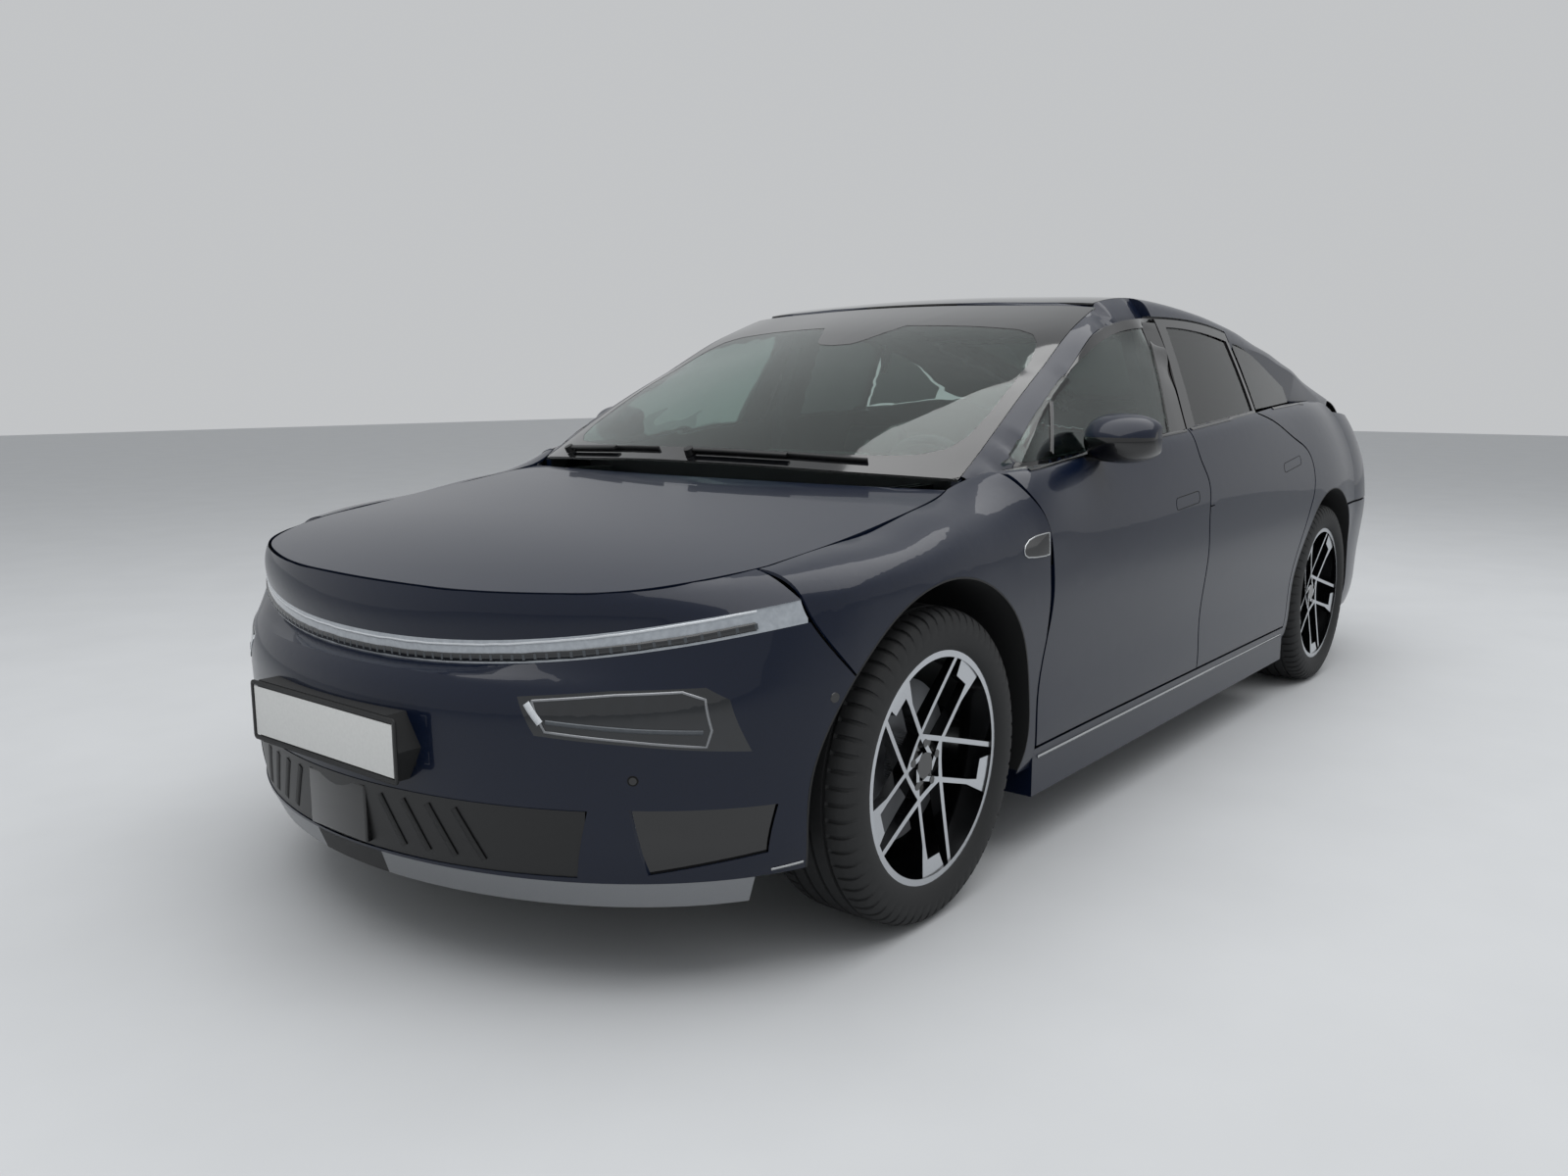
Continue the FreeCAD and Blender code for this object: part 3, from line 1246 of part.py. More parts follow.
# The body side's inner structure: rocker, hinge pillar, middle pillar and wheelhouse walls
PILLAR_Y = HALF_WIDTH - DOOR_DEPTH - SWEEP_CLEARANCE
HINGE_PILLAR_LENGTH = 150.0
HINGE_PILLAR_TOP = 0.575
MIDDLE_PILLAR_LENGTH = 120.0
ROCKER_TOP = DOOR_LOW - 15.0
PILLAR_LEAN_SHARES = ((ROCKER_TOP / HEIGHT, 0.545), (0.50, 0.545), (0.713, 0.530), (0.975, 0.536))
PILLAR_WAIST = 45.0
COWL_POST_Y = 745.0
COWL_POST_LENGTH = 60.0
BOOT_SHARE = 0.30


def rocker():
    front_x = DOOR_FRONT_X + SHUT_GAP / 4
    rear_x = REAR_AXLE_X + ARCH_RADIUS + SHUT_GAP
    outer_y = side_y(0, ROCKER_TOP) - SKIN / 2
    return box(front_x, rear_x, outer_y - ROCKER_WIDTH - SWEEP_CLEARANCE, outer_y,
               ROCKER_TOP - ROCKER_HEIGHT, ROCKER_TOP)


def hinge_pillar():
    """The pillar behind the front wing, with the post under the windscreen pillar's foot."""
    front_x = PILLAR_NOSE_X + HINGE_PILLAR_NOSE
    top = HINGE_PILLAR_TOP * HEIGHT
    spine = box(front_x - HINGE_PILLAR_LENGTH, front_x, PILLAR_Y - PILLAR_WALL, PILLAR_Y,
                ROCKER_TOP - PILLAR_WALL, top)
    nose = box(PILLAR_NOSE_X, front_x, PILLAR_Y - PILLAR_WALL, PILLAR_NOSE_Y, ROCKER_TOP,
               SHOULDER_START_SHARE * HEIGHT)
    post_x = along(0.137)
    shelf = box(front_x - HINGE_PILLAR_LENGTH, post_x + COWL_POST_LENGTH, COWL_POST_Y,
                COWL_POST_Y + PILLAR_WALL, top - PILLAR_WALL, top)
    post = box(post_x, post_x + COWL_POST_LENGTH, COWL_POST_Y, COWL_POST_Y + PILLAR_WALL / 2, top - PILLAR_WALL,
               HEIGHT)
    above = cabin_slab(between(CABIN_STATIONS, 0.10, 0.16), -CUT / 8, CUT / 8 + SKIN)
    return joined([spine, nose, shelf, largest(post.cut(above))])


def middle_pillar():
    """The pillar between the doors, leaning in with the side glass, up to the roof rail."""
    half = MIDDLE_PILLAR_LENGTH / 2
    reach = FRAME_DEPTH + SWEEP_CLEARANCE
    sections = []
    belt_level = PILLAR_LEAN_SHARES[2][0]
    for level, share in PILLAR_LEAN_SHARES:
        x = along(share)
        z = level * HEIGHT
        y = PILLAR_Y
        if level > belt_height(share) - 0.01:
            y = glass_y(x, z) - reach
        if level == belt_level:
            y -= PILLAR_WAIST
        corners = [V(x - half, y - PILLAR_WALL, z), V(x + half, y - PILLAR_WALL, z), V(x + half, y, z),
                   V(x - half, y, z)]
        sections.append(Part.makePolygon(corners + [corners[0]]))
    pillar = loft(sections, True)
    return largest(pillar.cut(cabin_slab(between(CABIN_STATIONS, 0.50, 0.58), -SKIN, PILLAR_DEPTH + SKIN, True)))


def tail_corner():
    """The left corner behind the quarter, between the bumper and the tailgate."""
    tail = tail_slab(SKIN).common(box(-LENGTH, LENGTH, 0, CUT, 0, CUT)).common(below_deck())
    return largest(cut(tail, [gate_panel_region(SHUT_GAP / 2), above_bumper(), tail_lamp_band(LAMP_GAP)]))


def above_bumper():
    return box(REAR_AXLE_X, -LENGTH, -CUT, CUT, 0, BUMPER_TOP_SHARE * HEIGHT + SHUT_GAP)


def body_side():
    """The left quarter, sill, hinge pillar and middle pillar."""
    skin = side_slab(between(SIDE_STATIONS, 0.15, TAIL_CENTRE_SHARE), SILL_SHARE * HEIGHT, SKIN)
    skin = cut(skin, [above_bumper(), side_prism(grown(front_door_line, SHUT_GAP / 2)),
                      side_prism(grown(rear_door_line, SHUT_GAP / 2)), arch_cut(REAR_AXLE_X, ARCH_RADIUS),
                      box(DOOR_FRONT_X + SHUT_GAP / 2, LENGTH, 0, CUT, 0, CUT)])
    inner = [rocker(), hinge_pillar(), middle_pillar()]
    inner += hinge_arms(front_hinge, PILLAR_Y - HINGE_EYE_RADIUS, 0.1 * HINGE_SETBACK)
    inner += hinge_arms(rear_hinge, PILLAR_Y - HINGE_EYE_RADIUS, HINGE_SETBACK)
    return largest(skin.fuse(inner))


# Wheels: a ribbed tyre, and a rim whose face is an offset star of long and short blades
SPOKES = 5
STAR_TURN = 33.9
LONG_BLADE_ACROSS = -64.0
SHORT_BLADE_ACROSS = 30.0
BLADE_WIDTH = 12.0
BLADE_END = TYRE_BEAD_RADIUS - RIM_WALL / 2
pad_shares = ((0.975, -0.155), (0.970, 0.200), (0.68, 0.138), (0.68, 0.092), (0.82, 0.084), (0.82, -0.105))


def revolved(points, axis_y=0):
    """A solid of revolution about the wheel's axle, from (radius, along axle) points."""
    corners = [V(0, across, radius) for radius, across in points]
    face = Part.Face(Part.makePolygon(corners + [corners[0]]))
    return solid_of(face.revolve(V(0, 0, 0), V(0, 1, 0), 360))


def tyre():
    half = TYRE_WIDTH / 2
    shoulder = TYRE_SHOULDER
    bead = TYRE_BEAD_RADIUS
    middle = (bead + TYRE_RADIUS) / 2
    return revolved(((bead, -half + shoulder), (middle, -half), (TYRE_RADIUS - shoulder, -half + shoulder / 4),
                     (TYRE_RADIUS, -half + shoulder), (TYRE_RADIUS, half - shoulder),
                     (TYRE_RADIUS - shoulder, half - shoulder / 4), (middle, half), (bead, half - shoulder)))


def rim():
    """The rim barrel, its pierced face, the hub and the brake disc, with the face towards +Y."""
    half = TYRE_WIDTH / 2
    barrel = revolved(((TYRE_BEAD_RADIUS, -half + TYRE_SHOULDER), (TYRE_BEAD_RADIUS, half - TYRE_SHOULDER),
                       (RIM_RADIUS, half - TYRE_SHOULDER), (RIM_RADIUS, half - TYRE_SHOULDER + RIM_LIP),
                       (TYRE_BEAD_RADIUS - RIM_WALL, half - TYRE_SHOULDER + RIM_LIP),
                       (TYRE_BEAD_RADIUS - RIM_WALL, -half + TYRE_SHOULDER)))
    outer = half - TYRE_SHOULDER + RIM_LIP / 2
    centre = outer - WHEEL_DISH
    face = revolved(((0, centre - WHEEL_FACE_DEPTH), (HUB_RADIUS, centre - WHEEL_FACE_DEPTH),
                     (TYRE_BEAD_RADIUS - RIM_WALL / 2, outer - WHEEL_FACE_DEPTH / 2),
                     (TYRE_BEAD_RADIUS - RIM_WALL / 2, outer), (HUB_RADIUS, centre), (0, centre)))
    face = face.common(star(half))
    hub = Part.makeCylinder(HUB_RADIUS, centre - HUB_DROP - HUB_BACK, V(0, HUB_BACK, 0), V(0, 1, 0))
    cap = Part.makeCylinder(CAP_RADIUS, centre - HUB_BACK, V(0, HUB_BACK, 0), V(0, 1, 0))
    disc = Part.makeCylinder(DISC_RADIUS, DISC_THICKNESS, V(0, HUB_BACK, 0), V(0, 1, 0))
    bore = Part.makeCylinder(SPINDLE_RADIUS + RUNNING_GAP, SPINDLE_LENGTH + RUNNING_GAP, V(0, HUB_BACK, 0),
                             V(0, 1, 0))
    return largest(barrel.fuse([face, hub, cap, disc]).cut(bore))


def star_point(turn, ahead, across):
    """A point of the rim's face, by its distances along and beside a blade's direction."""
    angle = math.radians(STAR_TURN + turn)
    return V(-ahead * math.sin(angle) - across * math.cos(angle), 0, ahead * math.cos(angle) - across * math.sin(angle))


def star(depth):
    """The face's outline as upright prisms: five long blades, five short ones and their wide pads."""
    prisms = []
    half = BLADE_WIDTH / 2
    for i in range(SPOKES):
        turn = 360 / SPOKES * i
        far = BLADE_END * 0.985
        near = LONG_BLADE_ACROSS * math.tan(math.pi / SPOKES)
        long_blade = ((near, LONG_BLADE_ACROSS - half), (near, LONG_BLADE_ACROSS + half),
                      (far, LONG_BLADE_ACROSS + half), (far, LONG_BLADE_ACROSS - half))
        short_blade = ((0, SHORT_BLADE_ACROSS - half), (0, SHORT_BLADE_ACROSS + half),
                       (far, SHORT_BLADE_ACROSS + half), (far, SHORT_BLADE_ACROSS - half))
        pad = [(ahead * TYRE_BEAD_RADIUS, across * TYRE_BEAD_RADIUS) for ahead, across in pad_shares]
        for outline in (long_blade, short_blade, pad):
            points = [star_point(turn, ahead, across) for ahead, across in outline]
            prisms.append(Part.Face(Part.makePolygon(points + [points[0]])).extrude(V(0, depth, 0)))
    return joined(prisms)


def moved(shape, x, y, z):
    copy = shape.copy()
    copy.translate(V(x, y, z))
    return copy


WHEEL_Y = HALF_WIDTH - WHEEL_INSET - TYRE_WIDTH / 2

# The running gear: floor, battery, subframes with their arms, knuckles and the drive unit
KINGPIN_INSET = 60.0
KINGPIN_Y = WHEEL_Y - KINGPIN_INSET
KINGPIN_HALF = 130.0
POST_RADIUS = 22.0
BALL_RADIUS = 10.0
BALL_LENGTH = 34.0
EYE_RADIUS = 24.0
EYE_HEIGHT = 28.0
CARRIER_RADIUS = 60.0
ARM_RADIUS = 14.0
SUBFRAME_LOW = 190.0
SUBFRAME_HEIGHT = 70.0
SUBFRAME_HALF = 330.0
SUBFRAME_REACH = 260.0
SUBFRAME_RAIL = 80.0
TOWER_HALF = 30.0
RAIL_Y = 380.0
RAIL_WIDTH = 60.0


def floor_pan():
    """Floor, bulkhead with the bonnet's hinge arms, boot floor, front rails and both crash beams."""
    front_x = BULKHEAD_X
    rear_x = REAR_AXLE_X + ARCH_RADIUS
    outer_y = side_y(0, ROCKER_TOP) - SKIN / 2 - ROCKER_WIDTH - SWEEP_CLEARANCE
    base = GROUND_CLEARANCE + BATTERY_HEIGHT
    boot_z = BOOT_SHARE * HEIGHT
    boot_y = REAR_LINER_Y - RUNNING_GAP
    floor = box(front_x, rear_x, -outer_y, outer_y, base, base + FLOOR_THICKNESS)
    bulkhead = box(front_x - FLOOR_THICKNESS, front_x, -outer_y, outer_y, base, BULKHEAD_TOP)
    heel = box(rear_x, rear_x + FLOOR_THICKNESS, -outer_y, outer_y, base, boot_z)
    boot = box(REAR_BEAM_X + 0.75 * BEAM_DEPTH, rear_x + FLOOR_THICKNESS, -boot_y, boot_y, boot_z,
               boot_z + FLOOR_THICKNESS)
    rear_beam = box(REAR_BEAM_X, REAR_BEAM_X + BEAM_DEPTH, -BEAM_HALF, BEAM_HALF, REAR_BEAM_Z, boot_z)
    low = PAD_SHARE * HEIGHT - BEAM_HEIGHT / 2
    front_beam = box(BEAM_X - BEAM_DEPTH, BEAM_X, -BEAM_HALF, BEAM_HALF, low, low + BEAM_HEIGHT)
    rails = []
    for side in (-1, 1):
        rails.append(box(front_x - FLOOR_THICKNESS, BEAM_X - BEAM_DEPTH, side * RAIL_Y, side * (RAIL_Y + RAIL_WIDTH),
                         low, low + BEAM_HEIGHT))
    return joined([floor, bulkhead, heel, boot, rear_beam, front_beam] + rails + seat_bases() + bonnet_brackets())


def battery():
    front_x = FRONT_AXLE_X - ARCH_RADIUS - 4 * LAMP_DEPTH
    rear_x = REAR_AXLE_X + ARCH_RADIUS + 2 * LAMP_DEPTH
    return box(front_x, rear_x, -BATTERY_WIDTH / 2, BATTERY_WIDTH / 2, GROUND_CLEARANCE,
               GROUND_CLEARANCE + BATTERY_HEIGHT)


def knuckle():
    """The left front knuckle: post, ball pins, hub carrier and spindle, about its own axle."""
    back = HUB_BACK - RUNNING_GAP
    post = Part.makeCylinder(POST_RADIUS, 2 * KINGPIN_HALF, V(0, -KINGPIN_INSET, -KINGPIN_HALF))
    carrier = Part.makeCylinder(CARRIER_RADIUS, KINGPIN_INSET + POST_RADIUS + back,
                                V(0, -KINGPIN_INSET - POST_RADIUS, 0), V(0, 1, 0))
    spindle = Part.makeCylinder(SPINDLE_RADIUS, SPINDLE_LENGTH, V(0, back - RUNNING_GAP, 0), V(0, 1, 0))
    pins = [Part.makeCylinder(BALL_RADIUS, 2 * (KINGPIN_HALF + BALL_LENGTH),
                              V(0, -KINGPIN_INSET, -KINGPIN_HALF - BALL_LENGTH))]
    return joined([post, carrier, spindle] + pins)


def rear_knuckle():
    """The left rear hub carrier on its spindle, about its own axle."""
    back = HUB_BACK - RUNNING_GAP
    carrier = Part.makeCylinder(CARRIER_RADIUS, KINGPIN_INSET + POST_RADIUS + back,
                                V(0, -KINGPIN_INSET - POST_RADIUS, 0), V(0, 1, 0))
    spindle = Part.makeCylinder(SPINDLE_RADIUS, SPINDLE_LENGTH, V(0, back - RUNNING_GAP, 0), V(0, 1, 0))
    return carrier.fuse(spindle)


def frame_ring(axle_x):
    outer = box(axle_x - SUBFRAME_REACH, axle_x + SUBFRAME_REACH, -SUBFRAME_HALF, SUBFRAME_HALF,
                SUBFRAME_LOW, SUBFRAME_LOW + SUBFRAME_HEIGHT)
    hole = box(axle_x - SUBFRAME_REACH + SUBFRAME_RAIL, axle_x + SUBFRAME_REACH - SUBFRAME_RAIL,
               -SUBFRAME_HALF + SUBFRAME_RAIL, SUBFRAME_HALF - SUBFRAME_RAIL,
               SUBFRAME_LOW, SUBFRAME_LOW + SUBFRAME_HEIGHT)
    return outer.cut(hole)


def eye_at(axle_x, z):
    ring = Part.makeCylinder(EYE_RADIUS, EYE_HEIGHT, V(axle_x, KINGPIN_Y, z - EYE_HEIGHT / 2))
    bore = Part.makeCylinder(BALL_RADIUS + RUNNING_GAP, EYE_HEIGHT, V(axle_x, KINGPIN_Y, z - EYE_HEIGHT / 2))
    return ring, bore


def front_subframe():
    """The front frame with a lower and an upper wishbone a side, each ending in an eye."""
    reach = SUBFRAME_REACH * 0.6
    inner_y = SUBFRAME_HALF - SUBFRAME_RAIL / 2
    eye_gap = KINGPIN_HALF + BALL_LENGTH / 2
    solids = []
    bores = []
    for z, root_z in ((TYRE_RADIUS - eye_gap, SUBFRAME_LOW + SUBFRAME_HEIGHT / 2),
                      (TYRE_RADIUS + eye_gap, TYRE_RADIUS + eye_gap)):
        ring, bore = eye_at(FRONT_AXLE_X, z)
        solids.append(ring)
        bores.append(bore)
        for offset in (-reach, reach):
            solids.append(rod(V(FRONT_AXLE_X + offset, inner_y, root_z),
                              V(FRONT_AXLE_X, KINGPIN_Y - EYE_RADIUS * 0.6, z), ARM_RADIUS))
    rail_z = PAD_SHARE * HEIGHT
    for offset in (-reach, reach):
        x = FRONT_AXLE_X + offset
        solids.append(box(x - TOWER_HALF, x + TOWER_HALF, inner_y - TOWER_HALF, inner_y + TOWER_HALF,
                          SUBFRAME_LOW + SUBFRAME_HEIGHT / 2, TYRE_RADIUS + eye_gap + TOWER_HALF))
        solids.append(box(x - TOWER_HALF, x + TOWER_HALF, inner_y, RAIL_Y, rail_z - TOWER_HALF / 2,
                          rail_z + TOWER_HALF / 2))
    side = joined(solids)
    side = cut(side, bores)
    return joined([frame_ring(FRONT_AXLE_X), side, mirrored(side)])


def rear_subframe():
    """The rear frame with its arms and the hub carriers that they hold."""
    reach = SUBFRAME_REACH * 0.6
    inner_y = SUBFRAME_HALF - SUBFRAME_RAIL / 2
    carrier = moved(rear_knuckle(), REAR_AXLE_X, WHEEL_Y, TYRE_RADIUS)
    solids = [carrier]
    for offset in (-reach, reach):
        for height in (-CARRIER_RADIUS / 2, CARRIER_RADIUS / 2):
            solids.append(rod(V(REAR_AXLE_X + offset, inner_y, SUBFRAME_LOW + SUBFRAME_HEIGHT / 2),
                              V(REAR_AXLE_X, KINGPIN_Y - POST_RADIUS / 2, TYRE_RADIUS + height), ARM_RADIUS))
        x = REAR_AXLE_X + offset
        solids.append(box(x - TOWER_HALF, x + TOWER_HALF, inner_y - TOWER_HALF, inner_y + TOWER_HALF,
                          SUBFRAME_LOW + SUBFRAME_HEIGHT / 2, BOOT_SHARE * HEIGHT))
    side = joined(solids)
    return joined([frame_ring(REAR_AXLE_X), side, mirrored(side)])


# Wheelhouse liners: an arched shell over each wheel with an inner wall
LINER_WALL = 4.0
FRONT_LINER_Y = 480.0
REAR_LINER_Y = 640.0
LINER_LOW = 250.0
LINER_WALL_LOW = 560.0


def liner(axle_x, inner_y):
    """A left wheelhouse shell, trimmed to the body side's skin."""
    radius = ARCH_RADIUS - RUNNING_GAP
    shell = Part.makeCylinder(radius, HALF_WIDTH - inner_y, V(axle_x, inner_y, TYRE_RADIUS), V(0, 1, 0))
    room = Part.makeCylinder(radius - LINER_WALL, CUT, V(axle_x, inner_y + LINER_WALL, TYRE_RADIUS), V(0, 1, 0))
    below = box(axle_x - 2 * radius, axle_x + 2 * radius, 0, CUT, -CUT, LINER_LOW)
    gap = box(axle_x - radius * 0.8, axle_x + radius * 0.8, 0, inner_y + LINER_WALL, 0, LINER_WALL_LOW)
    share = share_of(axle_x)
    stations = between(SIDE_STATIONS, share_of(axle_x + 1.1 * radius), share_of(axle_x - 1.1 * radius))
    outside = side_slab(stations, LINER_LOW - LINER_WALL, -CUT / 8)
    return largest(cut(shell, [room, below, gap, outside]))


# Drive unit, one plain block between the rear wheels
DRIVE_LENGTH = 420.0
DRIVE_WIDTH = 480.0
DRIVE_HEIGHT = 190.0


def drive_unit(axle_x):
    low = SUBFRAME_LOW + SUBFRAME_HEIGHT
    return box(axle_x - DRIVE_LENGTH / 2, axle_x + DRIVE_LENGTH / 2, -DRIVE_WIDTH / 2, DRIVE_WIDTH / 2, low,
               low + DRIVE_HEIGHT)


# Cabin: seats on their bases, dashboard, steering wheel and console
SEAT_WIDTH = 520.0
SEAT_LENGTH = 500.0
SEAT_THICKNESS = 130.0
SEAT_BACK_HEIGHT = 620.0
SEAT_BACK_DEPTH = 120.0
SEAT_RADIUS = 40.0
SEAT_BASE_HEIGHT = 120.0
SEAT_Y = 370.0
FRONT_SEAT_SHARE = 0.50
REAR_SEAT_SHARE = 0.83
BACK_LEAN = 22.0
dash_shares = ((0.160, 0.655), (0.230, 0.655), (0.262, 0.610), (0.255, 0.500), (0.215, 0.420), (0.160, 0.420))
DASH_HALF = 700.0
WHEEL_RING = 185.0
WHEEL_TUBE = 15.0
WHEEL_SHARE = (0.305, 0.585)
COLUMN_LENGTH = 240.0
COLUMN_RADIUS = 25.0
COLUMN_TILT = 25.0
CONSOLE_WIDTH = 190.0
CONSOLE_HEIGHT = 300.0
FLOOR_TOP = GROUND_CLEARANCE + BATTERY_HEIGHT + FLOOR_THICKNESS


def seat(share, half_width, centre_y, base):
    """A cushion and a leaning back, as one plain padded form; share is the seat's rear edge."""
    x = along(share)
    cushion = rounded_box(x, x + SEAT_LENGTH, centre_y - half_width, centre_y + half_width, base,
                          base + SEAT_THICKNESS, SEAT_RADIUS)
    back = rounded_box(x, x + SEAT_BACK_DEPTH, centre_y - half_width, centre_y + half_width,
                       base + SEAT_THICKNESS / 2, base + SEAT_THICKNESS / 2 + SEAT_BACK_HEIGHT, SEAT_RADIUS)
    back.rotate(V(x, 0, base + SEAT_THICKNESS / 2), V(0, 1, 0), -BACK_LEAN)
    return joined([cushion, back])


def seat_bases():
    """The risers under the front seats and the rear bench."""
    bases = []
    x = along(FRONT_SEAT_SHARE)
    half = SEAT_WIDTH / 2 - SEAT_RADIUS
    for side in (1, -1):
        bases.append(box(x + SEAT_RADIUS, x + SEAT_LENGTH - SEAT_RADIUS, side * SEAT_Y - half, side * SEAT_Y + half,
                         FLOOR_TOP - FLOOR_THICKNESS / 2, FLOOR_TOP + SEAT_BASE_HEIGHT))
    x = along(REAR_SEAT_SHARE)
    half = DASH_HALF - 2 * SEAT_RADIUS
    bases.append(box(x + SEAT_RADIUS, x + SEAT_LENGTH - SEAT_RADIUS, -half, half,
                     FLOOR_TOP - FLOOR_THICKNESS / 2, FLOOR_TOP + SEAT_BASE_HEIGHT / 2))
    return bases


def dashboard():
    """The dashboard across the cabin, with the console between the seats."""
    corners = [V(along(place), -DASH_HALF, height * HEIGHT) for place, height in dash_shares]
    face = Part.Face(Part.makePolygon(corners + [corners[0]]))
    console = box(along(FRONT_SEAT_SHARE), corners[2].x, -CONSOLE_WIDTH / 2, CONSOLE_WIDTH / 2, FLOOR_TOP,
                  FLOOR_TOP + CONSOLE_HEIGHT)
    return face.extrude(V(0, 2 * DASH_HALF, 0)).fuse(console)


def steering_wheel():
    x, z = along(WHEEL_SHARE[0]), WHEEL_SHARE[1] * HEIGHT
    ring = Part.makeTorus(WHEEL_RING, WHEEL_TUBE, V(0, 0, 0), V(1, 0, 0))
    spoke = box(-WHEEL_TUBE / 2, WHEEL_TUBE / 2, -WHEEL_RING, WHEEL_RING, -2 * WHEEL_TUBE, 2 * WHEEL_TUBE)
    column = Part.makeCylinder(COLUMN_RADIUS, COLUMN_LENGTH, V(0, 0, 0), V(1, 0, 0))
    wheel = joined([ring, spoke, column])
    wheel.rotate(V(0, 0, 0), V(0, 1, 0), COLUMN_TILT)
    wheel.translate(V(x, SEAT_Y, z))
    return wheel.cut(dashboard())


# Door mirrors, on the doors' belt line: a housing lofted across the car, flat behind its glass
MIRROR_X_SHARE = 0.281
MIRROR_LENGTH = 120.0
MIRROR_WIDTH = 190.0
MIRROR_HEIGHT = 132.0
MIRROR_OUT = 1062.0
MIRROR_LOW = 1006.0
MIRROR_FOOT = 36.0
mirror_size_shares = ((0.0, 0.62, 0.60), (0.10, 0.84, 0.84), (0.35, 1.0, 1.0), (0.70, 0.93, 0.95), (0.92, 0.66, 0.72),
                      (1.0, 0.40, 0.46))
mirror_nose_shares = ((0.0, 1.0), (0.45, 0.97), (0.85, 0.76), (1.0, 0.46), (0.88, 0.20), (0.5, 0.03), (0.0, 0.0))


def mirror(carrier):
    """A door mirror and its foot, shaped to the door that carries it."""
    x = along(MIRROR_X_SHARE)
    back_x = x - MIRROR_LENGTH / 2
    middle_z = MIRROR_LOW + MIRROR_HEIGHT / 2
    sections = []
    for across, long_share, high_share in mirror_size_shares:
        y = MIRROR_OUT - MIRROR_WIDTH * (1 - across)
        run = [V(back_x + ahead * long_share * MIRROR_LENGTH, y, middle_z + (level - 0.5) * high_share * MIRROR_HEIGHT)
               for ahead, level in mirror_nose_shares]
        sections.append(Part.Wire([spline(run), Part.makeLine(run[-1], run[0])]))
    shell = loft(sections)
    belt = belt_height(MIRROR_X_SHARE) * HEIGHT
    foot_y = glass_y(x, belt)
    foot = box(x - MIRROR_FOOT, x + MIRROR_FOOT / 2, foot_y - MIRROR_FOOT / 2, MIRROR_OUT - MIRROR_WIDTH / 2,
               belt - MIRROR_FOOT / 2, MIRROR_LOW + MIRROR_FOOT / 2)
    return largest(shell.fuse(foot).cut(carrier))


PARTS = {}


def save(name, shape):
    PARTS[name] = shape
    shape.exportStep("parts/" + name + ".step")


def save_pair(name, shape):
    save(name + "_left", shape)
    save(name + "_right", mirrored(shape))


def save_group(name, shapes):
    save(name, Part.Compound(shapes))


left_front_door = front_door()
save_pair("door_front", left_front_door)
save_pair("door_rear", rear_door())
save_pair("glass_front", side_glass(front_glass_line, *FRONT_DOOR_SPAN))
save_pair("glass_rear", side_glass(rear_glass_line, 0.50, 0.80))
save_pair("mirror", mirror(left_front_door))
left_side = Part.Compound([body_side(), tail_corner()])
save_pair("body_side", left_side)
quarter_pane = side_glass(quarter_glass_line, 0.72, 1.0)
save_group("quarter_glasses", [quarter_pane, mirrored(quarter_pane)])
left_wing = front_wing()
save_group("front_wings", [left_wing, mirrored(left_wing)])
save("cabin_frame", cabin_frame())
save("roof_panel", roof_panel())
save("screen", screen())
save("tailgate", tailgate())
save("rear_screen", rear_screen())
save("gate_lamp", gate_lamp())
save("corner_lamps", corner_lamps())
save("rear_bumper", rear_bumper())
save("bonnet", bonnet())
save("cowl", cowl())
bumper = front_bumper()
cap = nose_cap()
save("front_bumper", bumper)
save("nose_cap", cap)
save("light_bar", light_bar([bumper, cap]))
left_lamp = head_lamp()
save_group("head_lamps", [left_lamp, mirrored(left_lamp)])
save("grille", grille())
left_vent = side_vent()
save_group("side_vents", [left_vent, mirrored(left_vent)])
save("bumper_lip", bumper_lip())
save("plate_carrier", plate_carrier())
one_rim = rim()
turned_rim = one_rim.copy()
turned_rim.rotate(V(0, 0, 0), V(0, 0, 1), 180)
one_tyre = largest(tyre().cut(one_rim))
for name, x in (("front", FRONT_AXLE_X), ("rear", REAR_AXLE_X)):
    save("tyre_" + name + "_left", moved(one_tyre, x, WHEEL_Y, TYRE_RADIUS))
    save("tyre_" + name + "_right", mirrored(moved(one_tyre, x, WHEEL_Y, TYRE_RADIUS)))
    left_rim = moved(one_rim, x, WHEEL_Y, TYRE_RADIUS)
    save("rim_" + name + "_left", left_rim)
    save("rim_" + name + "_right", moved(turned_rim, x, -WHEEL_Y, TYRE_RADIUS))
save_pair("knuckle", moved(knuckle(), FRONT_AXLE_X, WHEEL_Y, TYRE_RADIUS))
save_group("subframes", [front_subframe(), rear_subframe()])
liners = [liner(FRONT_AXLE_X, FRONT_LINER_Y), liner(REAR_AXLE_X, REAR_LINER_Y)]
save_group("wheel_liners", liners + [mirrored(one) for one in liners])
save("floor_pan", floor_pan())
save("battery", battery())
save("drive_unit", drive_unit(REAR_AXLE_X))
front_base = FLOOR_TOP + SEAT_BASE_HEIGHT + RUNNING_GAP
left_seat = seat(FRONT_SEAT_SHARE, SEAT_WIDTH / 2, SEAT_Y, front_base)
save_group("front_seats", [left_seat, mirrored(left_seat)])
rear_base = FLOOR_TOP + SEAT_BASE_HEIGHT / 2 + RUNNING_GAP
save("rear_seat", seat(REAR_SEAT_SHARE, DASH_HALF - SEAT_RADIUS, 0, rear_base))
save("dashboard", dashboard())
save("steering_wheel", steering_wheel())
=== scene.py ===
# %% [markdown]
# This notebook dresses a sedan that was drawn in CAD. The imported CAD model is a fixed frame: every
# panel, pane and wheel is already in its place, in metres, with +X ahead, +Y to the car's left and
# +Z up. Blender adds what CAD leaves out: finishes, soft seats, tyre tread, lamps' insides and trim.
# A piece could be placed by typing numbers for each one. It is better to ask the frame where a
# panel is, because the piece then stays right when a size in the CAD model changes.

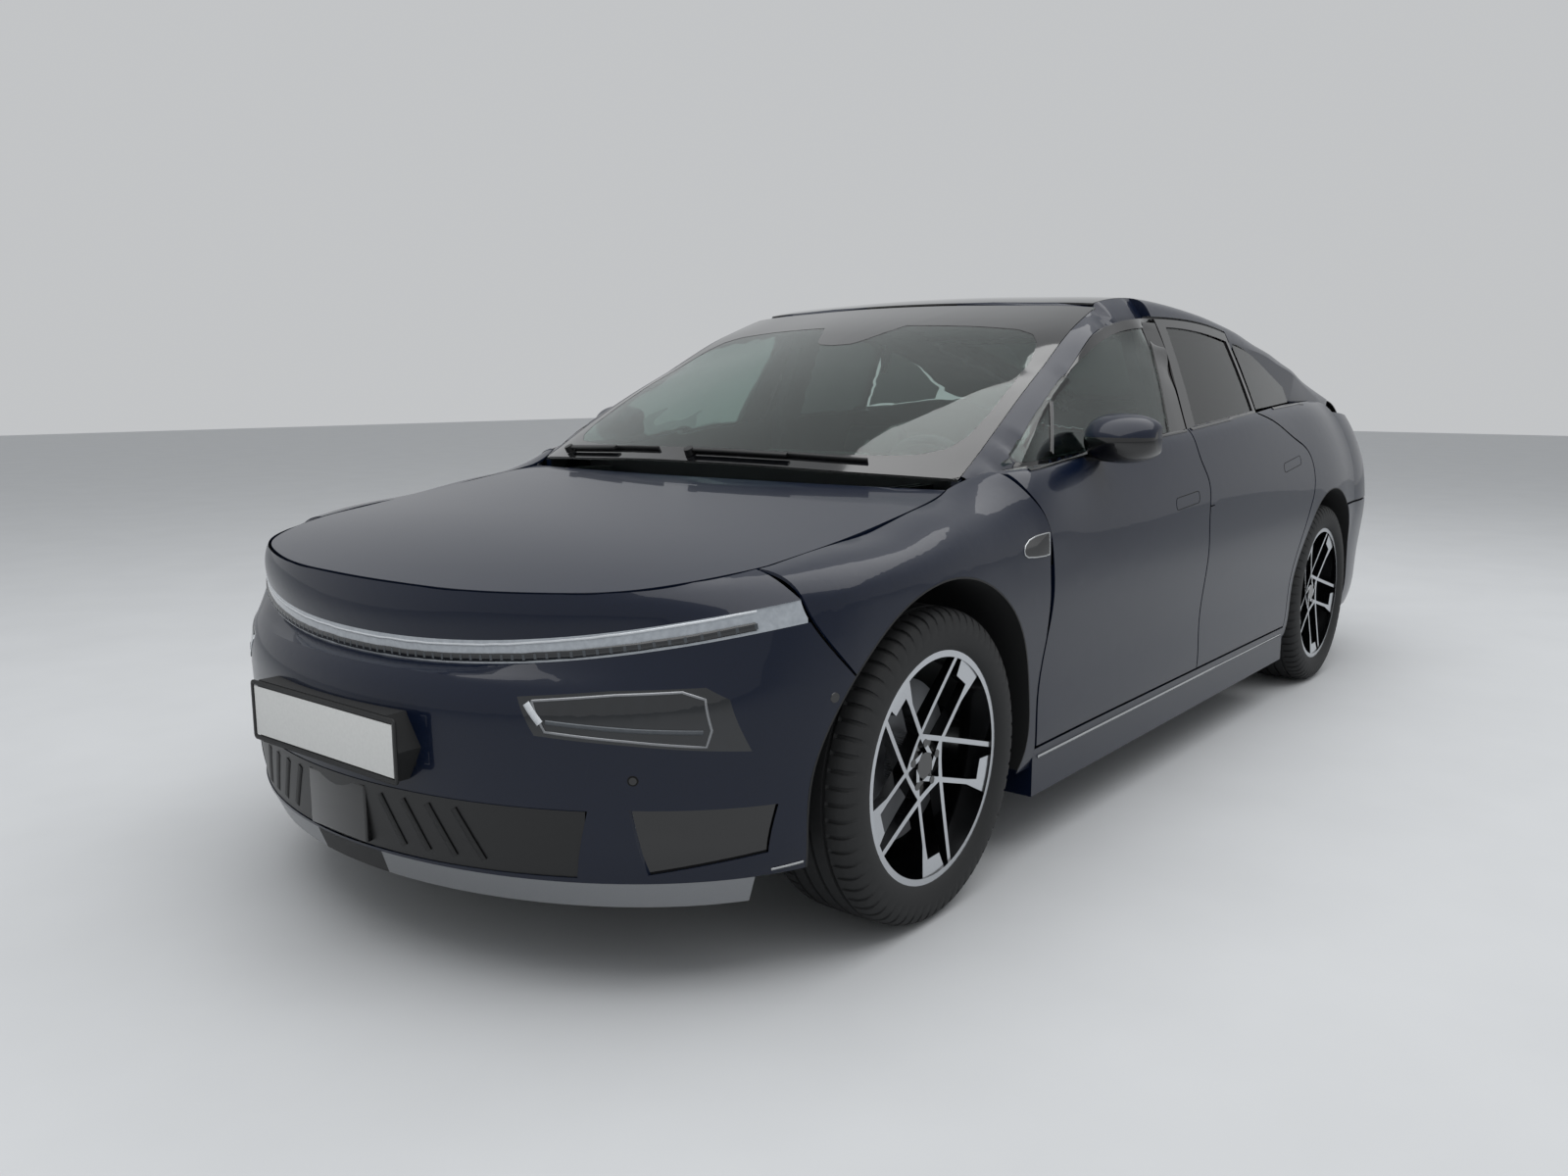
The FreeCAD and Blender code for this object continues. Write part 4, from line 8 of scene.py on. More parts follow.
# %% Load the frame
import json
import math

import bmesh
import bpy
from mathutils import Matrix, Vector
from mathutils.bvhtree import BVHTree
from mathutils.geometry import intersect_line_line_2d


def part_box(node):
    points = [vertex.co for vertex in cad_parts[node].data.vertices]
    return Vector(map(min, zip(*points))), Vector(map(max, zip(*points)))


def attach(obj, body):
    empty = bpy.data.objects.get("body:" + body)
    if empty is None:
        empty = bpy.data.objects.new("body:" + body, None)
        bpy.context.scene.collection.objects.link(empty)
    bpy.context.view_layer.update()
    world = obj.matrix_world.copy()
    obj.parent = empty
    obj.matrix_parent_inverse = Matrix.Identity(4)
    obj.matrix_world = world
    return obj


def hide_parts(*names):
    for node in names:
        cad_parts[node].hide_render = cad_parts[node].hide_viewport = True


SIDES = (("left", 1), ("right", -1))
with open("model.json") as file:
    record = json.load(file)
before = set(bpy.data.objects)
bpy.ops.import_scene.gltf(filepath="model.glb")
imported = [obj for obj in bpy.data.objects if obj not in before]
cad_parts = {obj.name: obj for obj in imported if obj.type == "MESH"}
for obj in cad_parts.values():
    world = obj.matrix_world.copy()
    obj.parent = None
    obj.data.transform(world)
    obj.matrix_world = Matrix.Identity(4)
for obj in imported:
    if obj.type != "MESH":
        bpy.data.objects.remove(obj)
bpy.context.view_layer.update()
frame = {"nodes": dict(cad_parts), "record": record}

# %% [markdown]
# The camera stands where the photographer stood: ahead of the left front corner, at chest height,
# with a wide lens. A long lens from further away would flatter the car less, and the near wheel
# would lose its size, so the place and the lens are both taken from the photograph.

# %% Camera
CAMERA_PLACE = Vector((3.914, 2.329, 1.221))
CAMERA_YAW = math.radians(-141.54)
CAMERA_PITCH = math.radians(-9.45)
SENSOR_WIDTH = 36.0
FOCAL_SHARE = 1259 / 1600

camera_data = bpy.data.cameras.new("camera")
camera_data.sensor_width = SENSOR_WIDTH
camera_data.lens = SENSOR_WIDTH * FOCAL_SHARE
camera = bpy.data.objects.new("camera", camera_data)
bpy.context.scene.collection.objects.link(camera)
forward = Vector((math.cos(CAMERA_PITCH) * math.cos(CAMERA_YAW),
                  math.cos(CAMERA_PITCH) * math.sin(CAMERA_YAW), math.sin(CAMERA_PITCH)))
camera.rotation_mode = "QUATERNION"
camera.rotation_quaternion = forward.to_track_quat("-Z", "Y")
camera.location = CAMERA_PLACE
bpy.context.scene.camera = camera
print("lens %.1f mm" % camera_data.lens)

# %% [markdown]
# Colours are written as the sRGB hex values that a paint chart or a picture editor shows. Blender
# works in linear light, so one function turns them. A second one makes a material with a principled
# shader and sets its plain numbers, and a third adds a node with its settings and links. With those
# three, each finish below is a few lines that read like a recipe.


# %% Colour and node helpers
def linear(code):
    """A hex colour such as "#1b2027" as linear red, green, blue and alpha."""
    parts = [int(code[i:i + 2], 16) / 255 for i in (1, 3, 5)]
    return [p / 12.92 if p <= 0.04045 else ((p + 0.055) / 1.055) ** 2.4 for p in parts] + [1.0]


def finish_named(name, colour, roughness, metallic=0.0, **sockets):
    """A new material whose plain colour and numbers sit on the shader's own sockets."""
    material = bpy.data.materials.new(name)
    material.use_nodes = True
    shader = material.node_tree.nodes["Principled BSDF"]
    shader.inputs["Base Color"].default_value = linear(colour)
    shader.inputs["Roughness"].default_value = roughness
    shader.inputs["Metallic"].default_value = metallic
    for socket, value in sockets.items():
        shader.inputs[socket.replace("_", " ")].default_value = value
    return material


def add_node(material, kind, settings=None, inputs=None, links=None):
    """Adds a node; links maps an input's name to (node, output's name)."""
    node = material.node_tree.nodes.new(kind)
    for key, value in (settings or {}).items():
        setattr(node, key, value)
    for key, value in (inputs or {}).items():
        node.inputs[key].default_value = value
    for key, (source, output) in (links or {}).items():
        material.node_tree.links.new(source.outputs[output], node.inputs[key])
    return node


def shader_of(material):
    return material.node_tree.nodes["Principled BSDF"]


def joined_to(material, node, output, socket):
    material.node_tree.links.new(node.outputs[output], shader_of(material).inputs[socket])


# %% [markdown]
# Most finishes are not one flat colour. Paint has flake, plastic has grain and cast iron has pits.
# One pattern serves them all: a noise at the grain's real size moves the colour a little, and the
# same noise makes a shallow bump. Image textures could do this too, but a noise has no seams and
# no edge, and it is as sharp close up as far away.


# %% Grain shared by the finishes
def grained(material, grain_mm, light, dark, bump_mm, rough_low=None, rough_high=None, stretch=(1, 1, 1)):
    """Varies colour, height and optionally roughness by a noise whose features are grain_mm wide."""
    place = add_node(material, "ShaderNodeTexCoord")
    scaled = add_node(material, "ShaderNodeMapping", inputs={"Scale": stretch},
                      links={"Vector": (place, "Object")})
    noise = add_node(material, "ShaderNodeTexNoise", inputs={"Scale": 1000 / grain_mm, "Detail": 3.0},
                     links={"Vector": (scaled, "Vector")})
    mix = add_node(material, "ShaderNodeMix", {"data_type": "RGBA"}, links={"Factor": (noise, "Fac")})
    mix.inputs[6].default_value = linear(dark)
    mix.inputs[7].default_value = linear(light)
    material.node_tree.links.new(mix.outputs[2], shader_of(material).inputs["Base Color"])
    if bump_mm:
        bump = add_node(material, "ShaderNodeBump", inputs={"Strength": 0.5, "Distance": bump_mm / 1000},
                        links={"Height": (noise, "Fac")})
        joined_to(material, bump, "Normal", "Normal")
    if rough_low is not None:
        levels = add_node(material, "ShaderNodeMapRange", inputs={"To Min": rough_low, "To Max": rough_high},
                          links={"Value": (noise, "Fac")})
        joined_to(material, levels, "Result", "Roughness")
    return material


# %% [markdown]
# The paint is a blue-black metallic under clear lacquer. The base coat is nearly black and a
# little rough, the flake gives it a faint sparkle, and the clear coat gives the sharp reflections
# that show the body's form. A low roughness with no coat would look like wet plastic.

# %% Paint, black gloss and glass
paint = grained(finish_named("metallic_paint_blue_black", "#08101f", 0.34, 0.0, Coat_Weight=0.5,
                             Coat_Roughness=0.02, Coat_IOR=1.5, Specular_IOR_Level=0.15),
                grain_mm=1.2, light="#0d1a33", dark="#040914", bump_mm=0)
gloss_black = grained(finish_named("gloss_black_abs", "#060607", 0.08, Coat_Weight=0.6, Coat_Roughness=0.03),
                      grain_mm=40, light="#08080a", dark="#050506", bump_mm=0)
clear_glass = grained(finish_named("tinted_safety_glass", "#a9bdb7", 0.0, IOR=1.5, Transmission_Weight=1.0),
                      grain_mm=300, light="#b4c8c2", dark="#a0b4ae", bump_mm=0)
dark_glass = grained(finish_named("privacy_glass", "#3a4442", 0.0, IOR=1.5, Transmission_Weight=1.0),
                     grain_mm=300, light="#414c4a", dark="#333c3a", bump_mm=0)
frit_black = grained(finish_named("printed_glass_border", "#0a0b0d", 0.06, Coat_Weight=0.6), 60, "#0c0d10",
                     "#08090a", 0)
roof_glass = grained(finish_named("dark_roof_glass", "#07090b", 0.03, IOR=1.5, Coat_Weight=0.5),
                     grain_mm=300, light="#0a0c0f", dark="#050708", bump_mm=0)

# %% [markdown]
# Moulded plastics are the matt parts: arch liners, the cowl and the lower trim. Their moulds are
# textured, which hides scratches, so a fine pebble bump and a high roughness suit them. Tyre rubber
# is rougher still and a little grey, because carbon black never looks fully black in daylight.

# %% Plastics, rubber and metals
moulded_plastic = grained(finish_named("textured_polypropylene", "#131415", 0.6), 1.6, "#1a1b1c", "#0f1011", 0.15,
                          0.5, 0.7)
tyre_rubber = grained(finish_named("tyre_rubber", "#1a1b1c", 0.75), 2.5, "#232425", "#141516", 0.12, 0.65, 0.85)
machined_alloy = grained(finish_named("machined_alloy", "#c9ccd0", 0.22, 1.0), 0.8, "#d2d5d9", "#b6b9bd", 0.02,
                         0.18, 0.30, (1, 1, 6))
black_alloy = grained(finish_named("black_lacquered_alloy", "#08090a", 0.18, 0.2, Coat_Weight=0.8), 20, "#0c0d0f",
                      "#060607", 0)
cast_iron = grained(finish_named("cast_iron", "#3a3a3b", 0.6, 0.8), 3, "#474748", "#2c2c2d", 0.25, 0.5, 0.75)
bare_aluminium = grained(finish_named("bare_aluminium", "#8d9093", 0.38, 1.0), 4, "#989b9e", "#7e8184", 0.05,
                         0.3, 0.45)
satin_silver = grained(finish_named("satin_silver_paint", "#8f9194", 0.32, 0.85), 1.0, "#9a9c9f", "#808285", 0)
satin_black = grained(finish_named("satin_black_powder_coat", "#0e0f10", 0.4), 2, "#131415", "#0a0b0c", 0.05)
# A flat near-black for painted shadow: the gaps round the door handles and round the front sensors.
shadow_black = grained(finish_named("unlit_gap_black", "#020202", 0.9), 5, "#030303", "#010101", 0)
brake_steel = grained(finish_named("ground_brake_steel", "#77797b", 0.35, 1.0), 1.5, "#85878a", "#66686b", 0.03,
                      0.3, 0.45)
plate_white = grained(finish_named("blank_plate_enamel", "#d4d5d3", 0.35), 8, "#dadbd9", "#cbccca", 0)
mirror_silver = grained(finish_named("silvered_mirror_glass", "#c9d2d6", 0.02, 1.0), 50, "#cdd6da", "#c3ccd0", 0)
bright_metal = grained(finish_named("polished_steel", "#c4c6c8", 0.12, 1.0), 6, "#cccecf", "#b8babc", 0)

# %% [markdown]
# The lamps have three finishes: the light bar's pale lens, the smoked lens over the lower lamps,
# and red for the tail. A lens is clear plastic over a bright or dark inside. Here the lens nodes
# are solid, so each gets the colour that the eye sees through it, with a glossy face over it.

# %% Lamp finishes
bar_lens = grained(finish_named("opal_lens_acrylic", "#aab0b6", 0.12, Coat_Weight=1.0, Coat_Roughness=0.02), 12,
                   "#b9bfc5", "#8e949b", 0)
smoked_lens = grained(finish_named("smoked_lens_acrylic", "#1c1e21", 0.04, IOR=1.49, Coat_Weight=0.5), 30,
                      "#202327", "#17191b", 0)
red_lens = grained(finish_named("red_lens_acrylic", "#5a0707", 0.08, IOR=1.49, Coat_Weight=1.0), 10,
                   "#6a0b0b", "#460505", 0)
lamp_grey = grained(finish_named("lamp_inner_grey", "#565a5e", 0.3, 0.6), 10, "#5e6266", "#4c5054", 0)
# Near-white for the small wedges inside the lower lamps and for the painted highlight along the light bar.
lamp_white_and_painted_glint = grained(finish_named("white_lamp_part_and_painted_glint", "#d8dce0", 0.25, 0.3), 10, "#e0e4e8", "#c8ccd0", 0)

# %% [markdown]
# Inside, the seats are a dark artificial leather, the headliner is a pale knit and the dashboard
# is a soft moulded skin. Leather grain is cells a millimetre or two across, so a Voronoi pattern
# suits it better than plain noise.


# %% Cabin finishes
def leather_named(name, colour, light, dark):
    material = grained(finish_named(name, colour, 0.5), 14, light, dark, 0, 0.42, 0.58)
    place = add_node(material, "ShaderNodeTexCoord")
    cells = add_node(material, "ShaderNodeTexVoronoi", {"feature": "DISTANCE_TO_EDGE"},
                     inputs={"Scale": 1000 / 2.4}, links={"Vector": (place, "Object")})
    bump = add_node(material, "ShaderNodeBump", inputs={"Strength": 0.35, "Distance": 0.0003},
                    links={"Height": (cells, "Distance")})
    joined_to(material, bump, "Normal", "Normal")
    return material


seat_leather = leather_named("seat_leather_dark", "#26282b", "#2d3033", "#1f2123")
dash_skin = leather_named("dashboard_skin", "#1e2022", "#242629", "#191b1c")
headliner = grained(finish_named("headliner_knit", "#8f9290", 0.9, Sheen_Weight=0.3), 2.0, "#9a9d9b", "#848785",
                    0.4)
screen_black = grained(finish_named("display_glass", "#050607", 0.05, Coat_Weight=1.0), 60, "#07080a",
                       "#040506", 0)
underbody_coat = grained(finish_named("underbody_coating", "#1a1c1e", 0.7), 5, "#212325", "#131516", 0.4,
                         0.6, 0.8)
print(len(bpy.data.materials), "materials so far")

# %% [markdown]
# A CAD node arrives as loose triangles with flat faces. A copy of it, with its double points
# merged, can be shaded smooth where the surface is round and sharp at the panel's edges. The copy
# then stands for the node, which stays in the simulation. Bevelling every edge would be the other
# way, but the panels are only 6 mm thick and their edges already meet at real shut gaps.


# %% Smooth copies of CAD nodes
def linked(name, mesh, materials, body, slot):
    """An object for the mesh; without a body it is only a start that something else finishes."""
    piece = bpy.data.objects.new(name, mesh)
    bpy.context.scene.collection.objects.link(piece)
    for material in materials:
        mesh.materials.append(material)
    if body:
        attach(piece, body)
    return piece


def new_piece(name, vertices, faces, body, slot, materials, edges=()):
    mesh = bpy.data.meshes.new(name)
    mesh.from_pydata(vertices, edges, faces)
    mesh.update()
    return linked(name, mesh, materials, body, slot)


def piece_from(bm, name, material=None, body=None, slot=None, angle=None):
    """A piece from a bmesh, which is freed; angle is where smooth shading stops."""
    mesh = bpy.data.meshes.new(name)
    bm.to_mesh(mesh)
    bm.free()
    piece = linked(name, mesh, [material] if material else [], body, slot)
    if angle:
        smooth_faces(piece, angle)
    return piece


def grid_faces(rows, columns, turned=False, closed=False):
    """Quads between neighbouring rows of points; closed joins the last row to the first."""
    faces = []
    for r in range(rows - 1 + closed):
        a, b = r * columns, (r + 1) % rows * columns
        faces += [(a + k, b + k, b + k + 1, a + k + 1) for k in range(columns - 1)]
    return [tuple(reversed(face)) for face in faces] if turned else faces


def merged_mesh(node):
    """The node's points and faces, with doubles merged."""
    bm = bmesh.new()
    bm.from_mesh(frame["nodes"][node].data)
    bmesh.ops.remove_doubles(bm, verts=bm.verts, dist=2e-5)
    bmesh.ops.dissolve_degenerate(bm, edges=bm.edges, dist=1e-6)
    vertices = [v.co.copy() for v in bm.verts]
    faces = [[v.index for v in f.verts] for f in bm.faces]
    bm.free()
    return vertices, faces


body_of_node = {node: body for body, nodes in frame["record"]["behaviour"]["bodies"].items() for node in nodes}
slot_of_node = {part["node"]: part["material_slot"] for part in frame["record"]["subparts"]}


def smooth_faces(piece, angle=28):
    piece.data.shade_smooth()
    piece.data.set_sharp_from_angle(angle=math.radians(angle))


def skinned(node, materials, pick=None, angle=28):
    """A smooth copy of a node; pick gives each face's material from its centre and normal."""
    vertices, faces = merged_mesh(node)
    piece = new_piece(node + "_skin", vertices, faces, body_of_node[node], slot_of_node[node], materials)
    smooth_faces(piece, angle)
    if pick:
        for face in piece.data.polygons:
            face.material_index = pick(face.center, face.normal)
    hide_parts(node)
    return piece


# %% [markdown]
# A door is paint outside, gloss black on the frame round its glass and a dark skin inside. The
# faces tell which is which: a face above the belt line belongs to the window frame, and a face
# that looks towards the middle of the car belongs to the cabin.

# %% Doors, roof frame and other painted panels
LIP_MIDDLE = 0.125
PLATE_SEAT = 0.003
BELT_LINE = ((-2.4, 1.113), (-1.9, 1.128), (-1.28, 1.143), (-0.68, 1.122), (0.06, 1.078), (0.277, 1.068),
             (0.77, 1.031), (1.16, 1.007), (1.6, 0.99))


def belt_at(x):
    """Height of the belt line, from a table of the body's own points."""
    for (x0, z0), (x1, z1) in zip(BELT_LINE, BELT_LINE[1:]):
        if x <= x1:
            return z0 + (z1 - z0) * (max(x, x0) - x0) / (x1 - x0)
    return BELT_LINE[-1][1]


def looks_inward(centre, normal):
    side = 1 if centre.y > 0 else -1
    return normal.y * side < -0.15


def door_finish(centre, normal):
    if looks_inward(centre, normal):
        return 2
    return 1 if centre.z > belt_at(centre.x) - 0.002 else 0


def frame_finish(centre, normal):
    toward_middle = Vector((0, -centre.y, 1.0 - centre.z))
    return 1 if normal.dot(toward_middle) > 0.15 * toward_middle.length else 0


def side_finish(centre, normal):
    return 1 if looks_inward(centre, normal) else 0


for side, _ in SIDES:
    skinned("door_front_" + side, [paint, gloss_black, dash_skin], door_finish)
    skinned("door_rear_" + side, [paint, gloss_black, dash_skin], door_finish)
    skinned("body_side_" + side, [paint, underbody_coat], side_finish)
    skinned("glass_front_" + side, [clear_glass])
    skinned("glass_rear_" + side, [dark_glass])
    skinned("knuckle_" + side, [cast_iron])
skinned("cabin_frame", [paint, headliner], frame_finish)
skinned("bumper_lip", [satin_silver, moulded_plastic],
        lambda place, normal: 1 if abs(place.y) < LIP_MIDDLE else 0)
for material, nodes in ((dark_glass, ("quarter_glasses", "rear_screen")), (roof_glass, ("roof_panel",)),
                        (clear_glass, ("screen",)), (bar_lens, ("light_bar",)), (smoked_lens, ("head_lamps",)),
                        (red_lens, ("gate_lamp", "corner_lamps")), (gloss_black, ("grille", "side_vents")),
                        (paint, ("front_wings", "front_bumper", "nose_cap", "rear_bumper", "bonnet", "tailgate")),
                        (moulded_plastic, ("cowl", "wheel_liners", "plate_carrier")),
                        (underbody_coat, ("floor_pan",)), (bare_aluminium, ("battery", "drive_unit")),
                        (cast_iron, ("subframes",)), (dash_skin, ("dashboard",)),
                        (seat_leather, ("steering_wheel",))):
    for node in nodes:
        skinned(node, [material])
PLATE_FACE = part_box("plate_carrier")[1][0]
for v in bpy.data.objects["plate_carrier_skin"].data.vertices:
    if v.co.x > PLATE_FACE - 0.0005:
        v.co.x = PLATE_FACE - PLATE_SEAT

# %% [markdown]
# Small pieces sit on the car's skin, and the skin curves everywhere. A ray cast from outside gives
# the point and the direction of the skin there, so a strip or a lamp needs only its outline. Typing
# the third number by hand would leave pieces floating a few millimetres off the body.


# %% Finding places on the skin
TREES = {}
NOSE_NODES = ("front_bumper", "light_bar", "head_lamps", "nose_cap", "bumper_lip", "grille")
FAR = 4.0


def tree_of(node):
    if node not in TREES:
        TREES[node] = BVHTree.FromPolygons(*merged_mesh(node))
    return TREES[node]


def seek(nodes, start, direction):
    """The nearest point that a ray meets on these nodes, with the outward direction there, or None."""
    towards = Vector(direction)
    hits = [tree_of(node).ray_cast(Vector(start), towards) for node in nodes]
    hits = [hit for hit in hits if hit[0] is not None]
    if not hits:
        return None
    place, normal, _, _ = min(hits, key=lambda hit: hit[3])
    return place, normal if normal.dot(towards) < 0 else -normal


def on_side(x, z, side, nodes=None):
    sign = 1 if side == "left" else -1
    skins = nodes or ("body_side_" + side, "door_front_" + side, "door_rear_" + side, "front_wings",
                      "front_bumper", "rear_bumper")
    return seek(skins, (x, sign * FAR, z), (0, -sign, 0))


def on_nose(y, z, nodes=NOSE_NODES):
    return seek(nodes, (FAR, y, z), (-1, 0, 0))


def on_top(x, y, nodes):
    return seek(nodes, (x, y, FAR), (0, 0, -1))


def spread(start, end, count):
    """Evenly spaced values from start to end."""
    return [start + (end - start) * i / (count - 1) for i in range(count)]


def along_line(corners, step):
    """Points every step or less along a line of corners."""
    points = []
    for a, b in zip(corners, corners[1:]):
        a, b = Vector(a), Vector(b)
        count = max(1, math.ceil((b - a).length / step))
        points += [a.lerp(b, i / count) for i in range(count)]
    return points + [Vector(corners[-1])]


# %% [markdown]
# Strips, seals and wiper arms are all one idea: a small cross-section carried along a path, with
# its broad side on the skin. A node tree does it once for all of them. Each path point carries the
# outward direction of the skin, and the tree turns the section to it. The result is turned into a
# plain mesh, so nothing is left to evaluate later.


# %% Node trees for strips and for copies round an axle
def node_in(tree, kind, settings=None, inputs=None, links=None):
    """Adds a geometry node; inputs and links go by the socket's place in the node."""
    node = tree.nodes.new(kind)
    for key, value in (settings or {}).items():
        setattr(node, key, value)
    for key, value in (inputs or {}).items():
        node.inputs[key].default_value = value
    for key, (source, output) in (links or {}).items():
        tree.links.new(source.outputs[output], node.inputs[key])
    return node


def tree_with(name, sockets):
    """A node group with these named inputs and one geometry output."""
    tree = bpy.data.node_groups.new(name, "GeometryNodeTree")
    for label, kind in sockets:
        tree.interface.new_socket(label, in_out="INPUT", socket_type="NodeSocket" + kind)
    tree.interface.new_socket("Result", in_out="OUTPUT", socket_type="NodeSocketGeometry")
    return tree, tree.nodes.new("NodeGroupInput"), tree.nodes.new("NodeGroupOutput")


def tree_end(tree, given, result, source, output, weld=None):
    """Every tree ends alike: copies become real faces, meeting points are welded when a distance is given, the
    finish is set.
    """
    last = node_in(tree, "GeometryNodeRealizeInstances", links={"Geometry": (source, output)})
    if weld:
        last = node_in(tree, "GeometryNodeMergeByDistance", inputs={"Distance": weld},
                       links={"Geometry": (last, "Geometry")})
    finished = node_in(tree, "GeometryNodeSetMaterial", links={"Geometry": (last, "Geometry"),
                                                               "Material": (given, "Finish")})
    tree.links.new(finished.outputs["Geometry"], result.inputs["Result"])
    return tree


def vector_named(tree, name):
    return node_in(tree, "GeometryNodeInputNamedAttribute", {"data_type": "FLOAT_VECTOR"}, {"Name": name})


def build_strip_tree():
    tree, given, result = tree_with("strip_along_path", (("Path", "Geometry"), ("Width", "Float"),
                                                         ("Thickness", "Float"), ("Finish", "Material")))
    curve = node_in(tree, "GeometryNodeMeshToCurve", links={"Mesh": (given, "Path")})
    turned = node_in(tree, "GeometryNodeSetCurveNormal", {"mode": "FREE"},
                     links={"Curve": (curve, "Curve"), "Normal": (vector_named(tree, "outward"), "Attribute")})
    section = node_in(tree, "GeometryNodeCurvePrimitiveQuadrilateral",
                      links={"Width": (given, "Thickness"), "Height": (given, "Width")})
    swept = node_in(tree, "GeometryNodeCurveToMesh", inputs={"Fill Caps": True},
                    links={"Curve": (turned, "Curve"), "Profile Curve": (section, "Curve")})
    return tree_end(tree, given, result, swept, "Mesh")


def build_ring_tree():
    tree, given, result = tree_with("copies_round_axle", (("Piece", "Geometry"), ("Count", "Int"),
                                                          ("Finish", "Material")))
    points = node_in(tree, "GeometryNodePoints", links={"Count": (given, "Count")})
    step = node_in(tree, "ShaderNodeMath", {"operation": "DIVIDE"}, {0: math.tau}, {1: (given, "Count")})
    number = node_in(tree, "GeometryNodeInputIndex")
    turn = node_in(tree, "ShaderNodeMath", {"operation": "MULTIPLY"},
                   links={0: (number, "Index"), 1: (step, "Value")})
    rotation = node_in(tree, "ShaderNodeCombineXYZ", links={"Y": (turn, "Value")})
    copies = node_in(tree, "GeometryNodeInstanceOnPoints", links={"Points": (points, "Points"),
                                                                  "Instance": (given, "Piece"),
                                                                  "Rotation": (rotation, "Vector")})
    return tree_end(tree, given, result, copies, "Instances", WELD)


def build_teeth_tree():
    tree, given, result = tree_with("teeth_along_path", (("Path", "Geometry"), ("Size", "Vector"),
                                                         ("Finish", "Material")))
    turn = node_in(tree, "FunctionNodeAxesToRotation", {"primary_axis": "X", "secondary_axis": "Y"},
                   links={"Primary Axis": (vector_named(tree, "outward"), "Attribute"),
                          "Secondary Axis": (vector_named(tree, "onward"), "Attribute")})
    tooth = node_in(tree, "GeometryNodeMeshCube", links={"Size": (given, "Size")})
    copies = node_in(tree, "GeometryNodeInstanceOnPoints",
                     links={"Points": (given, "Path"), "Instance": (tooth, "Mesh"),
                            "Rotation": (turn, "Rotation")})
    return tree_end(tree, given, result, copies, "Instances")


WELD = 0.0001
STRIP_TREE = build_strip_tree()
RING_TREE = build_ring_tree()
TEETH_TREE = build_teeth_tree()


def shaped(start, tree, values, body, slot, fields=(), shift=(0, 0, 0)):
    """The piece that a node tree makes from a start, as a plain mesh; fields are (label, vectors)."""
    for label, vectors in fields:
        field = start.data.attributes.new(label, "FLOAT_VECTOR", "POINT")
        for i, vector in enumerate(vectors):
            field.data[i].vector = vector
    modifier = start.modifiers.new("shape", "NODES")
    modifier.node_group = tree
    for item in tree.interface.items_tree:
        if item.in_out == "INPUT" and item.name in values:
            modifier[item.identifier] = values[item.name]
    graph = bpy.context.evaluated_depsgraph_get()
    mesh = bpy.data.meshes.new_from_object(start.evaluated_get(graph))
    start.modifiers.remove(modifier)
    mesh.transform(Matrix.Translation(shift))
    mesh.name = start.name
    start.data = mesh
    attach(start, body)
    return start


def strip(name, points, width, thickness, material, body, slot, closed=False, lift=0.0):
    """A flat strip along (place, outward) points; lift moves its middle off the skin."""
    edges = [(i, (i + 1) % len(points)) for i in range(len(points) - 1 + closed)]
    start = new_piece(name, [place + outward * lift for place, outward in points], [], None, None, [], edges)
    return shaped(start, STRIP_TREE, {"Width": width, "Thickness": thickness, "Finish": material}, body, slot,
                  (("outward", [outward for _, outward in points]),))


def teeth(name, points, size, material, body, slot, lift=0.0):
    """Small blocks at (place, outward) points; size is (depth, along, across)."""
    last = len(points) - 1
    onward = [points[min(i + 1, last)][0] - points[max(i - 1, 0)][0] for i in range(len(points))]
    start = new_piece(name, [place + outward * lift for place, outward in points], [], None, None, [])
    return shaped(start, TEETH_TREE, {"Size": size, "Finish": material}, body, slot,
                  (("outward", [outward for _, outward in points]), ("onward", onward)))


def ring_of(name, vertices, faces, count, material, body, slot, centre):
    """Copies of one small form round an axle that lies along the car's width."""
    piece = shaped(new_piece(name, vertices, faces, None, None, []), RING_TREE,
                   {"Count": count, "Finish": material}, body, slot, shift=centre)
    smooth_faces(piece, 35)
    return piece


def boxed(name, low, high, round_by, material, body, slot, turn=None, segments=3):
    """A box with rounded edges; turn is (point, axis, degrees)."""
    bm = bmesh.new()
    bmesh.ops.create_cube(bm, size=1)
    size = Vector(high) - Vector(low)
    middle = (Vector(high) + Vector(low)) / 2
    for v in bm.verts:
        v.co = Vector((v.co.x * size.x, v.co.y * size.y, v.co.z * size.z)) + middle
    if round_by:
        bmesh.ops.bevel(bm, geom=bm.edges[:], offset=round_by, segments=segments, affect="EDGES", profile=0.5)
    if turn:
        point, axis, degrees = turn
        bmesh.ops.rotate(bm, verts=bm.verts, cent=point, matrix=Matrix.Rotation(math.radians(degrees), 3, axis))
    return piece_from(bm, name, material, body, slot, 50)


def disc_on(name, place, outward, radius, depth, material, body, slot):
    bm = bmesh.new()
    bmesh.ops.create_cone(bm, cap_ends=True, segments=32, radius1=radius, radius2=radius * 0.9, depth=depth)
    turn = outward.to_track_quat("Z", "Y").to_matrix().to_4x4()
    bmesh.ops.transform(bm, matrix=Matrix.Translation(place) @ turn, verts=bm.verts)
    return piece_from(bm, name, material, body, slot, 40)


# %% [markdown]
# The windscreen has a black printed border. Its inner edge is a line of points, and each ray from
# the pane's middle meets that line once and the pane's own edge once, so the border is one ring of
# faces between the two. A picture mask could show it too, but it would blur close up.


